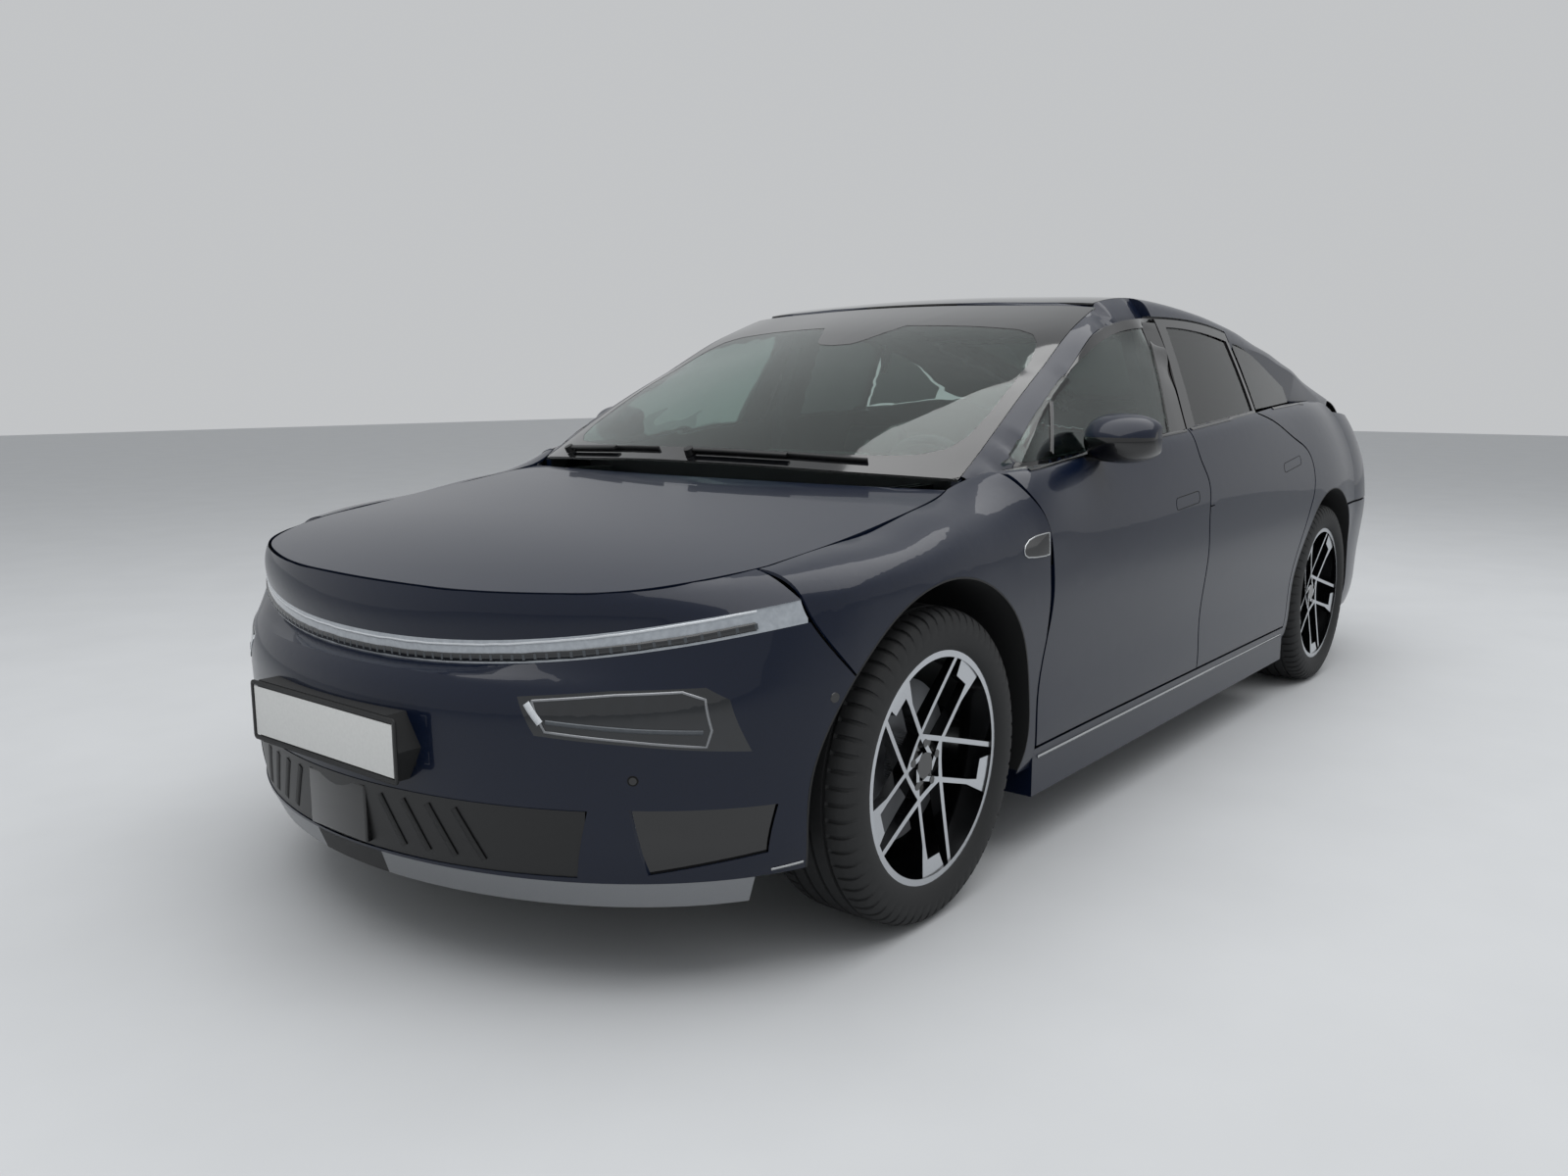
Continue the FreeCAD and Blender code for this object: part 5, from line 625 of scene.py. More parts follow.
# %% Black borders of the panes
SCREEN_MIDDLE = Vector((0.95, 0.0))
SCREEN_CLEAR = ((1.345, 0.0), (1.335, 0.20), (1.300, 0.40), (1.254, 0.542), (1.215, 0.63), (1.165, 0.682),
                (1.10, 0.703), (1.00, 0.703), (0.85, 0.690), (0.70, 0.668), (0.61, 0.640), (0.56, 0.60),
                (0.538, 0.54), (0.54, 0.40), (0.555, 0.25), (0.562, 0.16), (0.70, 0.085), (0.725, 0.06),
                (0.735, 0.0))
REAR_MIDDLE = Vector((-1.50, 0.0))
REAR_BORDER = 0.045
BORDER_LIFT = 0.0006
UPWARD = 0.3
BORDER_STEPS, BORDER_ROWS = 240, 6


def pane_edge(node):
    """The loop round a pane's upper face, as points in plan, in order."""
    bm = bmesh.new()
    vertices, faces = merged_mesh(node)
    made = [bm.verts.new(v) for v in vertices]
    for face in faces:
        bm.faces.new([made[i] for i in face])
    bm.normal_update()
    bm.verts.index_update()
    meets = {}
    for edge in bm.edges:
        looks = [face.normal.z > UPWARD for face in edge.link_faces]
        if len(looks) == 2 and looks[0] != looks[1]:
            a, b = (v.index for v in edge.verts)
            meets.setdefault(a, []).append(b)
            meets.setdefault(b, []).append(a)
    bm.free()
    loops = []
    left = set(meets)
    while left:
        loop = [left.pop()]
        while True:
            onward = [i for i in meets[loop[-1]] if i in left]
            if not onward:
                break
            loop.append(onward[0])
            left.discard(onward[0])
        loops.append([Vector(vertices[i][:2]) for i in loop])
    return max(loops, key=len)


def reach(loop, middle, angle):
    """How far from the middle the loop lies, in plan, along one direction."""
    towards = Vector((math.cos(angle), math.sin(angle)))
    far_point = middle + towards * FAR
    found = []
    for a, b in zip(loop, loop[1:] + loop[:1]):
        met = intersect_line_line_2d(middle, far_point, a, b)
        if met:
            found.append((met - middle).length)
    return min(found)


def border(node, middle, clear_reach, material):
    edge = pane_edge(node)
    rows = []
    for angle in spread(0, math.tau, BORDER_STEPS + 1)[:-1]:
        towards = Vector((math.cos(angle), math.sin(angle)))
        outer = reach(edge, middle, angle) - 0.001
        inner = min(clear_reach(angle, outer), outer - 0.002)
        line = []
        for distance in spread(inner, outer, BORDER_ROWS):
            place, outward = on_top(*(middle + towards * distance), (node,))
            line.append(place + outward * BORDER_LIFT)
        rows.append(line)
    piece = new_piece(node + "_border", [p for line in rows for p in line],
                      grid_faces(len(rows), BORDER_ROWS, turned=True, closed=True), body_of_node[node],
                      "gloss_black", [material])
    smooth_faces(piece, 60)
    return piece


screen_clear = [Vector(p) for p in SCREEN_CLEAR] + [Vector((x, -y)) for x, y in reversed(SCREEN_CLEAR[1:-1])]
border("screen", SCREEN_MIDDLE, lambda angle, outer: reach(screen_clear, SCREEN_MIDDLE, angle), frit_black)
border("rear_screen", REAR_MIDDLE, lambda angle, outer: outer - REAR_BORDER, frit_black)

# %% [markdown]
# The trim on the sides follows lines that the panels already have, such as the belt line and the
# foot of the sill. Each strip is cut where one panel ends, so a door takes its own length of
# moulding along when it opens. A flush handle shows only as the narrow gap round it, drawn as a
# thin near-black strip of painted shadow.

# %% Side trim, handles and indicators
SIDE_RUNS = (("door_front", 0.035, 1.105), ("door_rear", -0.86, 0.020), ("body_side", -1.36, -0.90))
SEAL_WIDTH, SEAL_DROP = 0.010, 0.006
SILL_STRIP_Z = 0.264


def skin_points(node, side, xs, height):
    """Points of one node's skin along a line of heights, without those that miss it."""
    return [hit for hit in (on_side(x, height(x), side, (node,)) for x in xs) if hit]


def rounded_outline(low_x, high_x, low_z, high_z, radius, steps=6):
    """Corner points of a rounded rectangle in (x, z)."""
    points = []
    for corner_x, corner_z, start in ((high_x - radius, high_z - radius, 0),
                                      (low_x + radius, high_z - radius, 90),
                                      (low_x + radius, low_z + radius, 180),
                                      (high_x - radius, low_z + radius, 270)):
        for turn in spread(start, start + 90, steps):
            angle = math.radians(turn)
            points.append((corner_x + radius * math.cos(angle), corner_z + radius * math.sin(angle)))
    return points


def patch(name, outline, side, node, lift, material, slot):
    """A thin closed skin over the outline, as a fan from its middle."""
    last = len(outline)
    middle = (sum(x for x, z in outline) / last, sum(z for x, z in outline) / last)
    points = [on_side(x, z, side, (node,)) for x, z in (*outline, middle)]
    piece = new_piece(name, [place + outward * lift for place, outward in points],
                      [(i, (i + 1) % last, last) for i in range(last)], body_of_node[node], slot, [material])
    smooth_faces(piece, 60)


INDICATOR = ((1.258, 0.822), (1.250, 0.834), (1.228, 0.845), (1.190, 0.852), (1.145, 0.855), (1.128, 0.855),
             (1.126, 0.800), (1.150, 0.799), (1.200, 0.801), (1.240, 0.805), (1.255, 0.812))
HANDLES = (("door_front", 0.085, 0.275, 0.846, 0.882, 0.06), ("door_rear", -0.995, -0.780, 0.905, 0.938, 0.10))
BUMPER_PAINTED_GLINT = ((2.098, 0.262), (1.996, 0.269))
DIVIDER = ((0.826, 1.172), (0.941, 1.020))

for side, _ in SIDES:
    for stem, low_x, high_x in SIDE_RUNS:
        node = stem + "_" + side
        run = skin_points(node, side, spread(high_x, low_x, 36), lambda x: belt_at(x) - SEAL_DROP)
        if len(run) > 2:
            strip("belt_moulding_" + node, run, SEAL_WIDTH, 0.004, gloss_black, body_of_node[node],
                  "gloss_black", lift=0.001)
    for stem, low_x, high_x, low_z, high_z, slope in HANDLES:
        node = stem + "_" + side
        middle_x = (low_x + high_x) / 2
        outline = [(x, z + slope * (middle_x - x)) for x, z in
                   rounded_outline(low_x, high_x, low_z, high_z, 0.014)]
        # The gap round the handle is a thin near-black strip of painted shadow.
        strip("handle_gap_shadow_" + node, [on_side(x, z, side, (node,)) for x, z in outline], 0.0022,
              0.0012, shadow_black, body_of_node[node], "black_plastic", closed=True)
    patch("indicator_%s" % side, INDICATOR, side, "front_wings", 0.0012, gloss_black, "gloss_black")
    strip("indicator_rim_%s" % side, [on_side(x, z, side, ("front_wings",)) for x, z in INDICATOR],
          0.0030, 0.0026,
          bright_metal, "shell", "silver_trim", closed=True, lift=0.001)
    # The polished strip low on the front bumper is a painted highlight, a glint drawn as a strip; the divider on
    # the door glass is real trim.
    for name, node, ((x0, z0), (x1, z1)), width, material, slot in (
            ("bumper_painted_glint_", "front_bumper", BUMPER_PAINTED_GLINT, 0.006, bright_metal, "silver_trim"),
            ("window_divider_", "glass_front_" + side, DIVIDER, 0.014, gloss_black, "gloss_black")):
        run = skin_points(node, side, spread(x0, x1, 9), lambda x: z0 + (z1 - z0) * (x - x0) / (x1 - x0))
        strip(name + side, run, width, 0.002, material, body_of_node[node], slot, lift=0.001)
    sill = skin_points("body_side_" + side, side, spread(1.09, -0.92, 40), lambda x: SILL_STRIP_Z)
    strip("sill_strip_" + side, sill, 0.007, 0.003, bright_metal, "shell", "silver_trim", lift=0.001)

# %% [markdown]
# The nose carries a full-width lamp whose lens is pale above and dark and toothed below, two deep
# lamps with a bright inner frame, round parking sensors and a plain plate. The teeth are copies
# along a path, so one node tree places them all and turns each to the curve of the nose.


# %% Nose lamps, sensors and plate
def bar_heights(y):
    """Lowest and highest point of the light bar at this distance from the middle."""
    found = [z for z in spread(0.62, 0.84, 111) if on_nose(y, z, ("light_bar",))]
    return found[0], found[-1]


def bar_path(share, ys):
    points = []
    for y in ys:
        low, high = bar_heights(y)
        points.append(on_nose(y, low + share * (high - low), ("light_bar",)))
    return points


BAR_REACH = 0.845
toothed = bar_path(0.24, spread(-BAR_REACH, BAR_REACH, 71))
strip("light_bar_shade", toothed, 0.016, 0.003, smoked_lens, "shell", "smoked_lens", lift=0.0005)
teeth("light_bar_teeth", toothed, (0.0022, 0.006, 0.011), lamp_grey, "shell", "bar_lens", lift=0.0012)
# A thin near-white strip high on the bar is a painted highlight, a glint drawn as a strip.
strip("light_bar_painted_glint", bar_path(0.80, spread(-BAR_REACH, BAR_REACH, 61)), 0.005, 0.002, lamp_white_and_painted_glint, "shell",
      "bar_lens", lift=0.0004)

LAMP_CORNERS = ((0.480, 0.622), (0.651, 0.642), (0.770, 0.649), (0.810, 0.632), (0.822, 0.560), (0.812, 0.520),
                (0.680, 0.537), (0.515, 0.553))
LAMP_INSET = 0.84
SENSORS, SIDE_SENSOR = ((0.686, 0.466), (0.250, 0.466)), (1.990, 0.605)
SENSOR_SEAT, SENSOR_RADIUS = 0.0115, 0.0085
LAMP_BLADE = ((0.545, 0.578), (0.700, 0.566), (0.790, 0.561))
LAMP_WEDGE = ((0.505, 0.612), (0.535, 0.575))


def inset_outline(outline, share):
    middle_y = sum(y for y, z in outline) / len(outline)
    middle_z = sum(z for y, z in outline) / len(outline)
    return [(middle_y + (y - middle_y) * share, middle_z + (z - middle_z) * share) for y, z in outline]


def lamp_points(outline, sign, step=0.02):
    corners = [Vector((0, sign * y, z)) for y, z in outline]
    return [on_nose(p.y, p.z, ("head_lamps",)) for p in along_line(corners, step)]


for side, sign in SIDES:
    frame_line = inset_outline(LAMP_CORNERS, LAMP_INSET)
    for name, line, width, material, slot, lift in (
            ("lamp_frame_", frame_line + frame_line[:1], 0.005, satin_silver, "smoked_lens", 0.0006),
            ("lamp_blade_", LAMP_BLADE, 0.009, lamp_grey, "bar_lens", 0.0008),
            ("lamp_wedge_", LAMP_WEDGE, 0.014, lamp_white_and_painted_glint, "bar_lens", 0.0008)):
        strip(name + side, lamp_points(line, sign), width, 0.002, material, "shell", slot, lift=lift)


for side, sign in SIDES:
    for number, (y, z) in enumerate(SENSORS):
        place, outward = on_nose(sign * y, z, ("front_bumper",))
        # The wider near-black disc behind the sensor shows as a ring of painted shadow round its edge.
        disc_on("sensor_seat_%s_%d" % (side, number), place, outward, SENSOR_SEAT, 0.0012, shadow_black, "shell",
                "black_plastic")
        disc_on("sensor_%s_%d" % (side, number), place, outward, SENSOR_RADIUS, 0.0026, gloss_black, "shell",
                "gloss_black")
    place, outward = on_side(*SIDE_SENSOR, side)
    disc_on("sensor_side_" + side, place, outward, SENSOR_SEAT, 0.002, gloss_black, "shell", "gloss_black")

PLATE_HALF = Vector((0.260, 0.055))
PLATE_Z = 0.5005
boxed("front_plate", (PLATE_FACE - PLATE_SEAT, -PLATE_HALF.x, PLATE_Z - PLATE_HALF.y),
      (PLATE_FACE - 0.0008, PLATE_HALF.x, PLATE_Z + PLATE_HALF.y), 0.0005, plate_white, "shell", "silver_trim")
holder_rim = rounded_outline(-0.268, 0.268, PLATE_Z - 0.063, PLATE_Z + 0.063, 0.006)
strip("plate_rim", [(Vector((PLATE_FACE - 0.0018, y, z)), Vector((1, 0, 0))) for y, z in holder_rim],
      0.010, 0.0034,
      moulded_plastic, "shell", "black_plastic", closed=True)

# %% [markdown]
# Under the plate the air intake is closed by a dark flush panel, with leaning ribs that show only
# as faint stripes and a plain block over the radar in the middle. The panel follows the bumper:
# each of its points lies between the edge above the intake and the lip below it.

# %% Intake panel
INTAKE_TOP, INTAKE_FOOT = 0.402, 0.258
INTAKE_HALF, INTAKE_FLARE = 0.590, 0.018
INTAKE_COLUMNS, INTAKE_ROWS = 49, 7
INTAKE_PROUD = 0.0015
INTAKE_NODES = ("front_bumper", "bumper_lip", "plate_carrier")
RADAR_HALF = 0.105
STRIPE_STARTS = (0.150, 0.215, 0.280, 0.345)
STRIPE_LEAN = 0.055


def intake_point(y, z):
    """A point of the flush panel, between the bumper above it and the lip below."""
    upper, _ = on_nose(y, INTAKE_TOP + 0.016, INTAKE_NODES)
    lower, _ = on_nose(y, INTAKE_FOOT - 0.012, INTAKE_NODES)
    share = (z - INTAKE_FOOT) / (INTAKE_TOP - INTAKE_FOOT)
    x = lower.x + (upper.x - lower.x) * share + INTAKE_PROUD
    return Vector((x, y, z))


panel = new_piece("intake_panel",
                  [intake_point(y * (INTAKE_HALF + INTAKE_FLARE * share),
                                INTAKE_FOOT + (INTAKE_TOP - INTAKE_FOOT) * share)
                   for y in spread(-1, 1, INTAKE_COLUMNS) for share in spread(0, 1, INTAKE_ROWS)],
                  grid_faces(INTAKE_COLUMNS, INTAKE_ROWS), "shell", "gloss_black", [satin_black])
smooth_faces(panel, 60)
for side, sign in SIDES:
    for number, y in enumerate(STRIPE_STARTS):
        line = [(intake_point(sign * (y + STRIPE_LEAN * t), z), Vector((1, 0, 0)))
                for t, z in zip(spread(0, 1, 6), spread(INTAKE_TOP - 0.02, INTAKE_FOOT + 0.02, 6))]
        strip("intake_stripe_%s_%d" % (side, number), line, 0.016, 0.0016, moulded_plastic, "shell",
              "black_plastic", lift=0.0010)
radar_x = intake_point(0, 0.33).x
boxed("radar_block", (radar_x - 0.012, -RADAR_HALF, INTAKE_FOOT + 0.008),
      (radar_x + 0.004, RADAR_HALF, INTAKE_TOP - 0.010), 0.004, gloss_black, "shell", "gloss_black")

# %% [markdown]
# A painted pillar runs from the cowl up each side of the windscreen and on beside the roof, between
# the pane's edge and the door's window frame. Both edges are measured, so the pillar fills the
# space that the two leave and keeps the same small gaps as the panels.

# %% Windscreen pillars
PILLAR_FRONT, PILLAR_REAR = 1.240, -0.002
PILLAR_STATIONS = 48
PILLAR_COLUMNS = 5
PANE_GAP, PILLAR_GAP = 0.002, 0.003
PILLAR_CROWN = 0.10
PILLAR_RETURN = Vector((0, 0, 0.018))
PANE_LOOPS = {node: pane_edge(node) for node in ("screen", "roof_panel")}
PANE_ENDS = {node: (min(p.x for p in loop) + 0.003, max(p.x for p in loop) - 0.003)
             for node, loop in PANE_LOOPS.items()}
print("panes reach from and to", PANE_ENDS)


def crossings(loop, axis, value):
    """Where a loop in plan crosses a line: axis 0 gives y at this x, axis 1 gives x at this y."""
    other = 1 - axis
    return [a[other] + (b[other] - a[other]) * (value - a[axis]) / (b[axis] - a[axis])
            for a, b in zip(loop, loop[1:] + loop[:1]) if (a[axis] - value) * (b[axis] - value) < 0]


def pane_side(x, sign):
    """The pane's side edge nearest to this x, as a point of its outer face."""
    node = min(PANE_ENDS, key=lambda name: max(PANE_ENDS[name][0] - x, x - PANE_ENDS[name][1], 0))
    at = min(max(x, PANE_ENDS[node][0]), PANE_ENDS[node][1])
    y = max(crossings(PANE_LOOPS[node], 0, at), key=lambda value: value * sign)
    return Vector((x, y, on_top(at, y - sign * 0.006, (node,))[0].z))


def pane_top(x, side):
    """The highest point of the front door's pane at this x, with the direction outward."""
    heights = spread(1.45, belt_at(x), 240)
    return next(hit for hit in (on_side(x, z, side, ("glass_front_" + side,)) for z in heights) if hit)


def frame_top(x, side, sign, start):
    """The upper edge of the door's window frame at this x, or of the wing ahead of the door."""
    least = min(belt_at(x) + 0.012, start.z - 0.075)
    for away in spread(abs(start.y), 1.0, 221):
        hit = on_top(x, sign * away, ("door_front_" + side, "front_wings"))
        if hit and hit[0].z > least:
            return hit[0]
    return pane_top(x, side)[0]


def windscreen_pillar(side, sign):
    vertices = []
    for x in spread(PILLAR_FRONT, PILLAR_REAR, PILLAR_STATIONS):
        inner = pane_side(x, sign)
        outer = frame_top(x, side, sign, inner)
        across = outer - inner
        width = across.length
        up = Vector((0, -across.z * sign, across.y * sign)).normalized()
        start = inner + across * min(0.3, PANE_GAP / width)
        end = outer - across * min(0.3, PILLAR_GAP / width)
        crowned = [start.lerp(end, t) + up * (2 * t * (1 - t) * PILLAR_CROWN * width)
                   for t in spread(0, 1, PILLAR_COLUMNS)]
        vertices += [start - PILLAR_RETURN, *crowned, end - PILLAR_RETURN]
    piece = new_piece("windscreen_pillar_" + side, vertices,
                      grid_faces(PILLAR_STATIONS, PILLAR_COLUMNS + 2, turned=sign < 0), "shell", "paint", [paint])
    smooth_faces(piece, 40)


FRAME_GAP_X = (1.045, 0.690)
FRAME_DROP = Vector((0, 0, 0.012))


def frame_front(side):
    """The black edge strip over the front of the door's pane, below the pillar."""
    edge = [(place - FRAME_DROP, outward) for place, outward in
            (pane_top(x, side) for x in spread(*FRAME_GAP_X, 24))]
    strip("frame_front_" + side, edge, 0.026, 0.005, gloss_black, "door_front_" + side, "gloss_black", lift=0.002)


CORNER_X, CORNER_Z = (-0.004, 0.100), (1.332, 1.410)
CORNER_STEPS = 9


def frame_corner(side, sign):
    """The outer skin of the front door's frame at its upper rear corner."""
    vertices, steps = [], spread(0, 1, CORNER_STEPS)
    for z in spread(*CORNER_Z, CORNER_STEPS):
        rear = on_side(-0.020, z, side, ("door_rear_" + side,))[0].y
        ahead = on_side(CORNER_X[1] + 0.004, z, side, ("door_front_" + side, "glass_front_" + side))[0].y
        vertices += [(CORNER_X[0] + (CORNER_X[1] - CORNER_X[0]) * t, rear + (ahead - rear) * t + sign * 0.0008, z)
                     for t in steps]
    piece = new_piece("frame_corner_" + side, vertices, grid_faces(CORNER_STEPS, CORNER_STEPS, turned=sign < 0),
                      "door_front_" + side, "gloss_black", [gloss_black])
    smooth_faces(piece, 60)


for side, sign in SIDES:
    windscreen_pillar(side, sign)
    frame_front(side)
    frame_corner(side, sign)

# %% [markdown]
# A tyre's tread is one short piece repeated round the axle, so it is drawn once, as a wedge with
# its grooves, and a node tree makes the ring. The wedge has four main grooves that run round the
# wheel and a cross groove on each shoulder, cut to a real depth so that they shade themselves.

# %% Tyres, bolts and brakes
TREAD_PITCHES = 64
GROOVE_DEPTH = 0.007
CROSS_DEPTH = 0.005
PROFILE = ((-0.100, 0.2630), (-0.112, 0.2700), (-0.1195, 0.2850), (-0.1215, 0.3050), (-0.1205, 0.3220),
           (-0.1175, 0.3370), (-0.1120, 0.3480), (-0.1050, 0.3545), (-0.0960, 0.3590), (-0.0860, 0.3618),
           (-0.0700, 0.3630), (-0.0640, 0.3631))
SHOULDER_POINTS = range(5, 11)
RIBS = ((-0.0640, -0.0540), (-0.0250, -0.0160), (0.0160, 0.0250), (0.0540, 0.0640))


def tread_profile():
    """(across, radius, on the shoulder) from one bead over the tread to the other."""
    left = [(y, r, i in SHOULDER_POINTS) for i, (y, r) in enumerate(PROFILE[:-1])]
    middle = []
    for start, end in RIBS:
        crown_start = 0.3640 - 0.0009 * (abs(start) / 0.064) ** 2
        crown_end = 0.3640 - 0.0009 * (abs(end) / 0.064) ** 2
        middle += [(start, crown_start, False), (start + 0.001, crown_start - GROOVE_DEPTH, False),
                   (end - 0.001, crown_end - GROOVE_DEPTH, False), (end, crown_end, False)]
    return left + middle + [(-y, r, shoulder) for y, r, shoulder in reversed(left)]


def tyre_ring(end, side):
    low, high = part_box("tyre_%s_%s" % (end, side))
    centre = Vector([(a + b) / 2 for a, b in zip(low, high)])
    profile = tread_profile()
    pitch = math.tau / TREAD_PITCHES
    columns = ((0, 0), (0.70 * pitch, 0), (0.74 * pitch, CROSS_DEPTH), (0.96 * pitch, CROSS_DEPTH), (pitch, 0))
    vertices = []
    for angle, drop in columns:
        for across, radius, shoulder in profile:
            r = radius - (drop if shoulder else 0)
            vertices.append((r * math.sin(angle), across, r * math.cos(angle)))
    node = "tyre_%s_%s" % (end, side)
    piece = ring_of(node + "_dressed", vertices, grid_faces(len(columns), len(profile)), TREAD_PITCHES,
                    tyre_rubber, body_of_node[node], "tyre", centre)
    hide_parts(node)
    return centre


BOLT_CIRCLE = 0.052
BOLT_RADIUS = 0.010
BOLT_SIDES = 6


def bolt_form(face_y):
    """A hexagon bolt with a washer, at the top of its circle."""
    vertices, faces = [], []
    for radius, low, high in ((BOLT_RADIUS * 1.3, -0.004, 0.001), (BOLT_RADIUS, 0.001, 0.009)):
        first = len(vertices)
        for y in (low, high):
            for i in range(BOLT_SIDES * 2):
                angle = math.tau * i / (BOLT_SIDES * 2)
                r = radius * (0.94 if i % 2 else 1.0)
                vertices.append((r * math.sin(angle), face_y + y, BOLT_CIRCLE + r * math.cos(angle)))
        n = BOLT_SIDES * 2
        faces += [(first + i, first + (i + 1) % n, first + n + (i + 1) % n, first + n + i) for i in range(n)]
        faces.append(tuple(first + n + i for i in range(n)))
    return vertices, faces


HUB_FACE = 0.0705
FACE_LINE = 0.0780


def wheel_finish(centre, sign):
    def pick(place, normal):
        away = math.hypot(place.x - centre.x, place.z - centre.z)
        out = (place.y - centre.y) * sign
        if away > 0.196 and out < 0.03 or away < 0.19 and out < 0.022:
            return 2 if away < 0.192 else 0
        return 1 if normal.y * sign > 0.80 and out > FACE_LINE - 0.008 and away > 0.033 else 0
    return pick


for end in ("front", "rear"):
    for side, sign in SIDES:
        centre = tyre_ring(end, side)
        node = "rim_%s_%s" % (end, side)
        skinned(node, [black_alloy, machined_alloy, brake_steel], wheel_finish(centre, sign))
        vertices, faces = bolt_form(HUB_FACE)
        if sign < 0:
            vertices = [(x, -y, z) for x, y, z in vertices]
            faces = [tuple(reversed(face)) for face in faces]
        ring_of("wheel_bolts_%s_%s" % (end, side), vertices, faces, 5, black_alloy, body_of_node[node],
                "rim_metal",
                centre)

# %% [markdown]
# The wipers lie parked across the foot of the windscreen, and the mirrors get their glass. An arm
# is a strip along three or four points of the pane, with its blade under it.

# %% Wipers and mirrors
WIPERS = ((-0.02, 0.52), (-0.62, -0.16))


def above_foot(y, up):
    """A point of the windscreen at this distance from the middle, a little above its foot."""
    return on_top(max(crossings(PANE_LOOPS["screen"], 1, y)) - up, y, ("screen",))


for number, (start, end) in enumerate(WIPERS):
    strip("wiper_blade_%d" % number, [above_foot(y, 0.046) for y in spread(start, end, 14)], 0.006, 0.010,
          moulded_plastic, "shell", "black_plastic", lift=0.006)
    arm_end = start + 0.6 * (end - start)
    strip("wiper_arm_%d" % number, [above_foot(y, 0.034) for y in spread(start, arm_end, 9)], 0.014, 0.007,
          satin_black, "shell", "black_plastic", lift=0.0145)
    place, outward = above_foot(start, 0.030)
    disc_on("wiper_pivot_%d" % number, place + outward * 0.012, outward, 0.015, 0.018, satin_black, "shell",
            "black_plastic")

MIRROR_SPLIT = 1.078
MIRROR_GLASS_SHARE = 0.86


def mirror_finish(place, normal):
    return 0 if place.z > MIRROR_SPLIT and normal.x > -0.8 else 1


for side, sign in SIDES:
    node = "mirror_" + side
    skinned(node, [paint, gloss_black], mirror_finish)
    low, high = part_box(node)
    back = [v for v in merged_mesh(node)[0] if v.x < low[0] + 0.002 and abs(v.y) > 0.90]
    middle = sum(back, Vector()) / len(back)
    turned = sorted(back, key=lambda v: math.atan2(v.z - middle.z, v.y - middle.y))
    outline = [middle + (v - middle) * MIRROR_GLASS_SHARE - Vector((0.0006, 0, 0)) for v in turned]
    new_piece("mirror_glass_" + side, outline, [tuple(range(len(outline)))], body_of_node[node], "gloss_black",
              [mirror_silver])

# %% [markdown]
# Seat pads are blown up by a short cloth simulation from a slightly smaller form. The seams are
# held still, so the leather crowns between them as real padding does. Moving the points by a
# formula is quicker, but it gives every channel the same even bulge.

# %% Padded seats
PAD_SHRINK = 0.012
PAD_PRESSURE = 4.0
PAD_FRAMES = 20


def pad_form(name, size, channels_along, channels_across, cap, voxel):
    """A padded form round the origin: size is (length, width, thickness), the top side crowned."""
    bm = bmesh.new()
    bmesh.ops.create_cube(bm, size=1)
    for v in bm.verts:
        v.co = Vector([c * (s - PAD_SHRINK) for c, s in zip(v.co, size)])
    bmesh.ops.bevel(bm, geom=bm.edges[:], offset=size[2] * 0.3, segments=4, affect="EDGES", profile=0.5)
    piece = piece_from(bm, name)
    remesh = piece.modifiers.new("remesh", "REMESH")
    remesh.mode = "VOXEL"
    remesh.voxel_size = voxel
    graph = bpy.context.evaluated_depsgraph_get()
    mesh = bpy.data.meshes.new_from_object(piece.evaluated_get(graph))
    piece.modifiers.remove(remesh)
    piece.data = mesh
    held = piece.vertex_groups.new(name="held")
    for v in mesh.vertices:
        top = v.co.z > size[2] * 0.18
        on_seam = any(abs(v.co.y - y) < voxel * 0.8 for y in channels_along)
        on_seam = on_seam or any(abs(v.co.x - x) < voxel * 0.8 for x in channels_across)
        if v.co.z < -size[2] * 0.3 or top and on_seam or abs(v.co.z) < voxel * 0.6:
            held.add([v.index], 1.0, "REPLACE")
    cloth = piece.modifiers.new("padding", "CLOTH")
    cloth.settings.quality = 4
    cloth.settings.use_pressure = True
    cloth.settings.uniform_pressure_force = PAD_PRESSURE
    cloth.settings.vertex_group_mass = "held"
    cloth.settings.effector_weights.gravity = 0
    for step in range(1, PAD_FRAMES + 1):
        bpy.context.scene.frame_set(step)
    moved = piece.evaluated_get(bpy.context.evaluated_depsgraph_get()).data
    ends = [v.co.copy() for v in moved.vertices]
    piece.modifiers.remove(cloth)
    for v, end in zip(mesh.vertices, ends):
        move = end - v.co
        v.co += move if move.length < cap else move * (cap / move.length)
    bpy.context.scene.frame_set(1)
    form = ([v.co.copy() for v in mesh.vertices], [tuple(p.vertices) for p in mesh.polygons])
    bpy.data.objects.remove(piece)
    return form


def placed_pad(name, form, matrix, node):
    """A pad at its place in the car, standing for a plain seat of the CAD model."""
    vertices, faces = form
    piece = new_piece(name, [matrix @ v for v in vertices], faces, "shell", "seat_leather", [seat_leather])
    piece.data.shade_smooth()
    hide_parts(node)


LEAN = 22.0
FRONT_X, FRONT_Z = 0.103, 0.461
REAR_X, REAR_Z = -0.887, 0.401
SEAT_MIDDLE_Y = 0.370
PAD_OUT = 0.060


def leaning(x, z, up, out, y=0.0):
    """Places a form on a seat back: up along the back, out from it, turned to face ahead."""
    turn = Matrix.Rotation(math.radians(-LEAN), 4, "Y")
    stand = Matrix.Rotation(math.radians(90), 4, "Y") @ Matrix.Rotation(math.radians(180), 4, "Z")
    return Matrix.Translation((x, y, z)) @ turn @ Matrix.Translation((out, 0, up)) @ stand


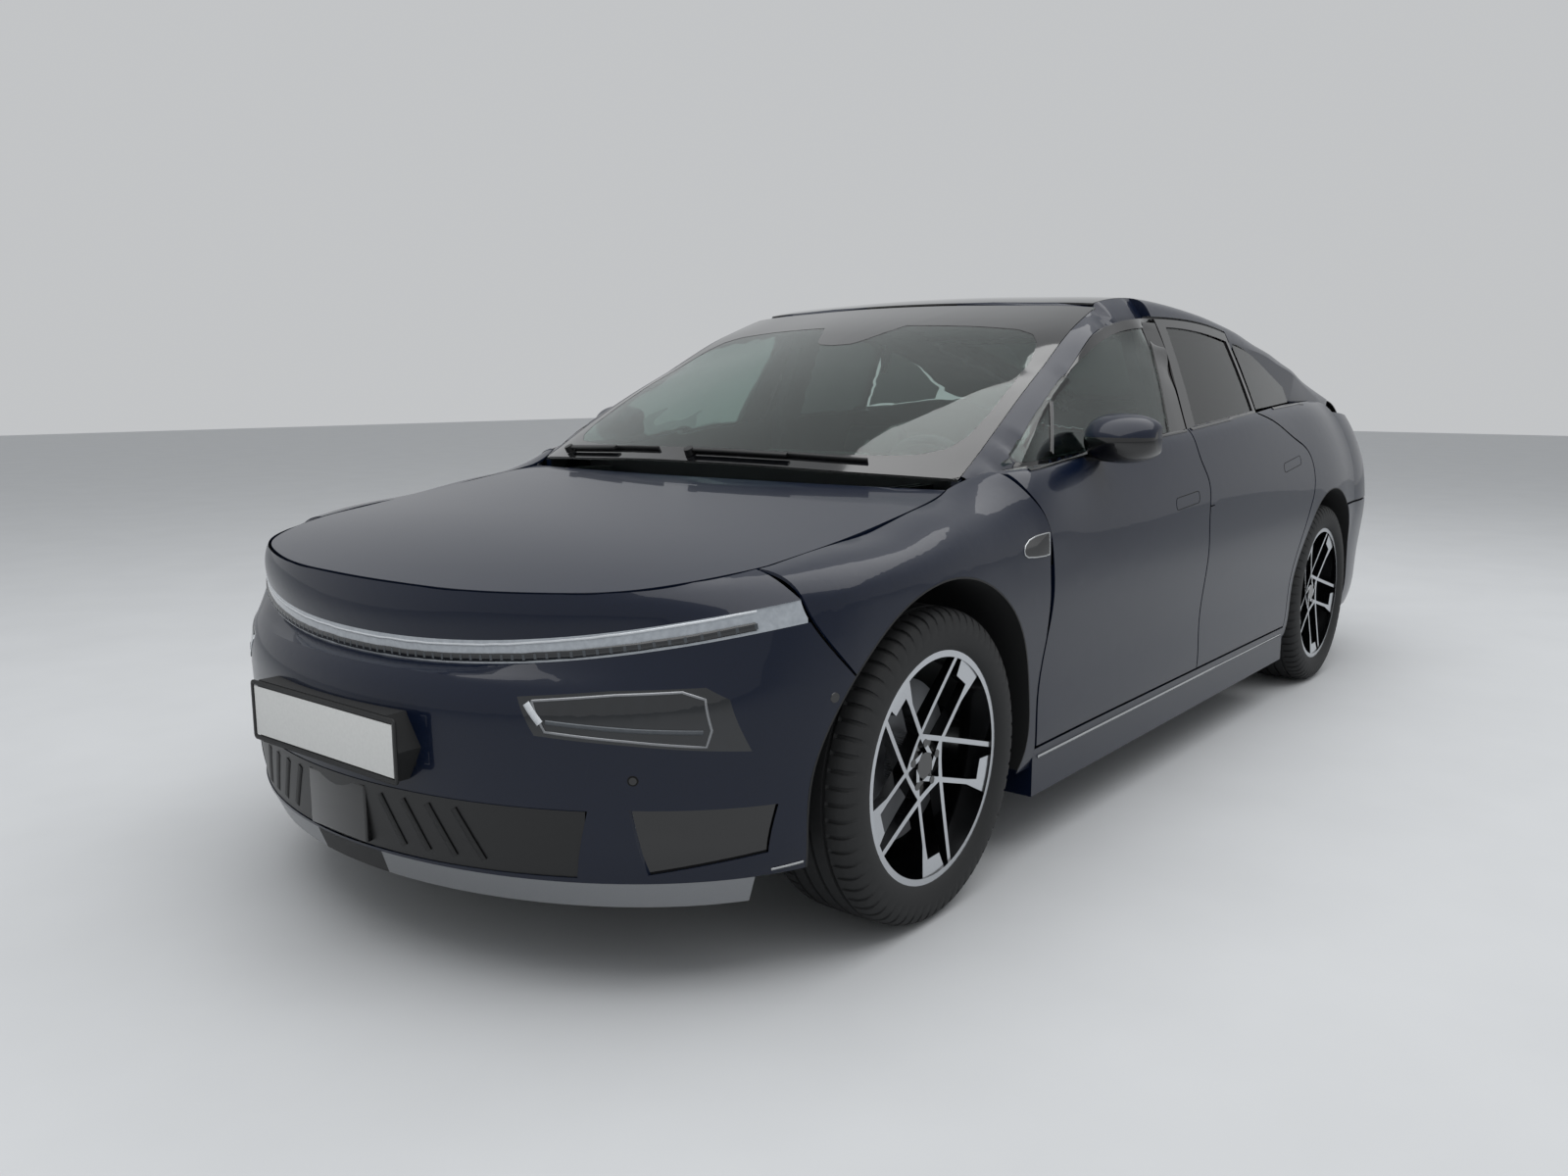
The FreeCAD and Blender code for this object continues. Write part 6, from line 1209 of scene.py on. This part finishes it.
cushion_form = pad_form("cushion", (0.500, 0.510, 0.126), (-0.165, 0.165), (-0.08, 0.04, 0.15), 0.016, 0.007)
back_form = pad_form("back", (0.470, 0.500, 0.112), (-0.150, 0.150), (-0.12, -0.02, 0.08), 0.016, 0.007)
head_form = pad_form("headrest", (0.130, 0.260, 0.095), (), (0.0,), 0.012, 0.006)
bench_form = pad_form("bench", (0.500, 1.300, 0.126), (-0.24, 0.24), (-0.05, 0.10), 0.016, 0.009)
bench_back_form = pad_form("bench_back", (0.480, 1.300, 0.112), (-0.24, 0.24), (-0.08, 0.08), 0.016, 0.009)

for side, sign in SIDES:
    y = sign * SEAT_MIDDLE_Y
    placed_pad("seat_cushion_" + side, cushion_form, Matrix.Translation((0.353, y, FRONT_Z)), "front_seats")
    placed_pad("seat_back_" + side, back_form, leaning(FRONT_X, FRONT_Z, 0.245, PAD_OUT, y), "front_seats")
    placed_pad("headrest_" + side, head_form, leaning(FRONT_X, FRONT_Z, 0.552, PAD_OUT, y), "front_seats")
placed_pad("bench_cushion", bench_form, Matrix.Translation((-0.637, 0, REAR_Z)), "rear_seat")
placed_pad("bench_back", bench_back_form, leaning(REAR_X, REAR_Z, 0.250, PAD_OUT), "rear_seat")
for y in (-0.40, 0, 0.40):
    placed_pad("rear_headrest_%d" % round(y * 100), head_form, leaning(REAR_X, REAR_Z, 0.560, PAD_OUT, y),
               "rear_seat")

# %% [markdown]
# The dashboard carries a wide display, which shows through the windscreen and when a door stands
# open. Its glass face is a second box, a little smaller, so that the dark case shows as a rim.

# %% Cabin fittings
boxed("centre_display", (0.812, -0.190, 0.945), (0.826, 0.190, 1.010), 0.004, gloss_black, "shell", "gloss_black")
boxed("centre_display_face", (0.8105, -0.184, 0.950), (0.8125, 0.184, 1.005), 0.001, screen_black, "shell",
      "gloss_black", segments=1)

# %% [markdown]
# The studio is a wide pale floor under a pale world, with one wide soft lamp overhead. A small
# lamp would leave a bright rectangle on the dark paint, and a wide one only draws the body's form.

# %% Floor, world and lamps
FLOOR_SIZE = 60.0
WORLD_STRENGTH = 0.70
SOFTBOX_WATTS = 520
bpy.ops.mesh.primitive_plane_add(size=FLOOR_SIZE)
floor = bpy.context.object
floor.name = "studio_floor"
floor_paint = grained(finish_named("studio_floor_paint", "#c4c6c8", 0.8), 400, "#c8cacc", "#c0c2c4", 0)
floor.data.materials.append(floor_paint)

world = bpy.data.worlds.new("studio")
world.use_nodes = True
bpy.context.scene.world = world
background = world.node_tree.nodes["Background"]
background.inputs["Color"].default_value = linear("#e4e6e8")
background.inputs["Strength"].default_value = WORLD_STRENGTH


def soft_lamp(name, place, target, width, height, watts):
    data = bpy.data.lights.new(name, "AREA")
    data.shape = "RECTANGLE"
    data.size = width
    data.size_y = height
    data.energy = watts
    lamp = bpy.data.objects.new(name, data)
    bpy.context.scene.collection.objects.link(lamp)
    lamp.location = place
    lamp.rotation_mode = "QUATERNION"
    lamp.rotation_quaternion = (Vector(target) - Vector(place)).to_track_quat("-Z", "Y")
    return lamp


soft_lamp("overhead_softbox", (0.5, 1.0, 6.5), (0, 0, 0.6), 12.0, 8.0, SOFTBOX_WATTS)
bpy.context.scene.view_settings.view_transform = "Standard"
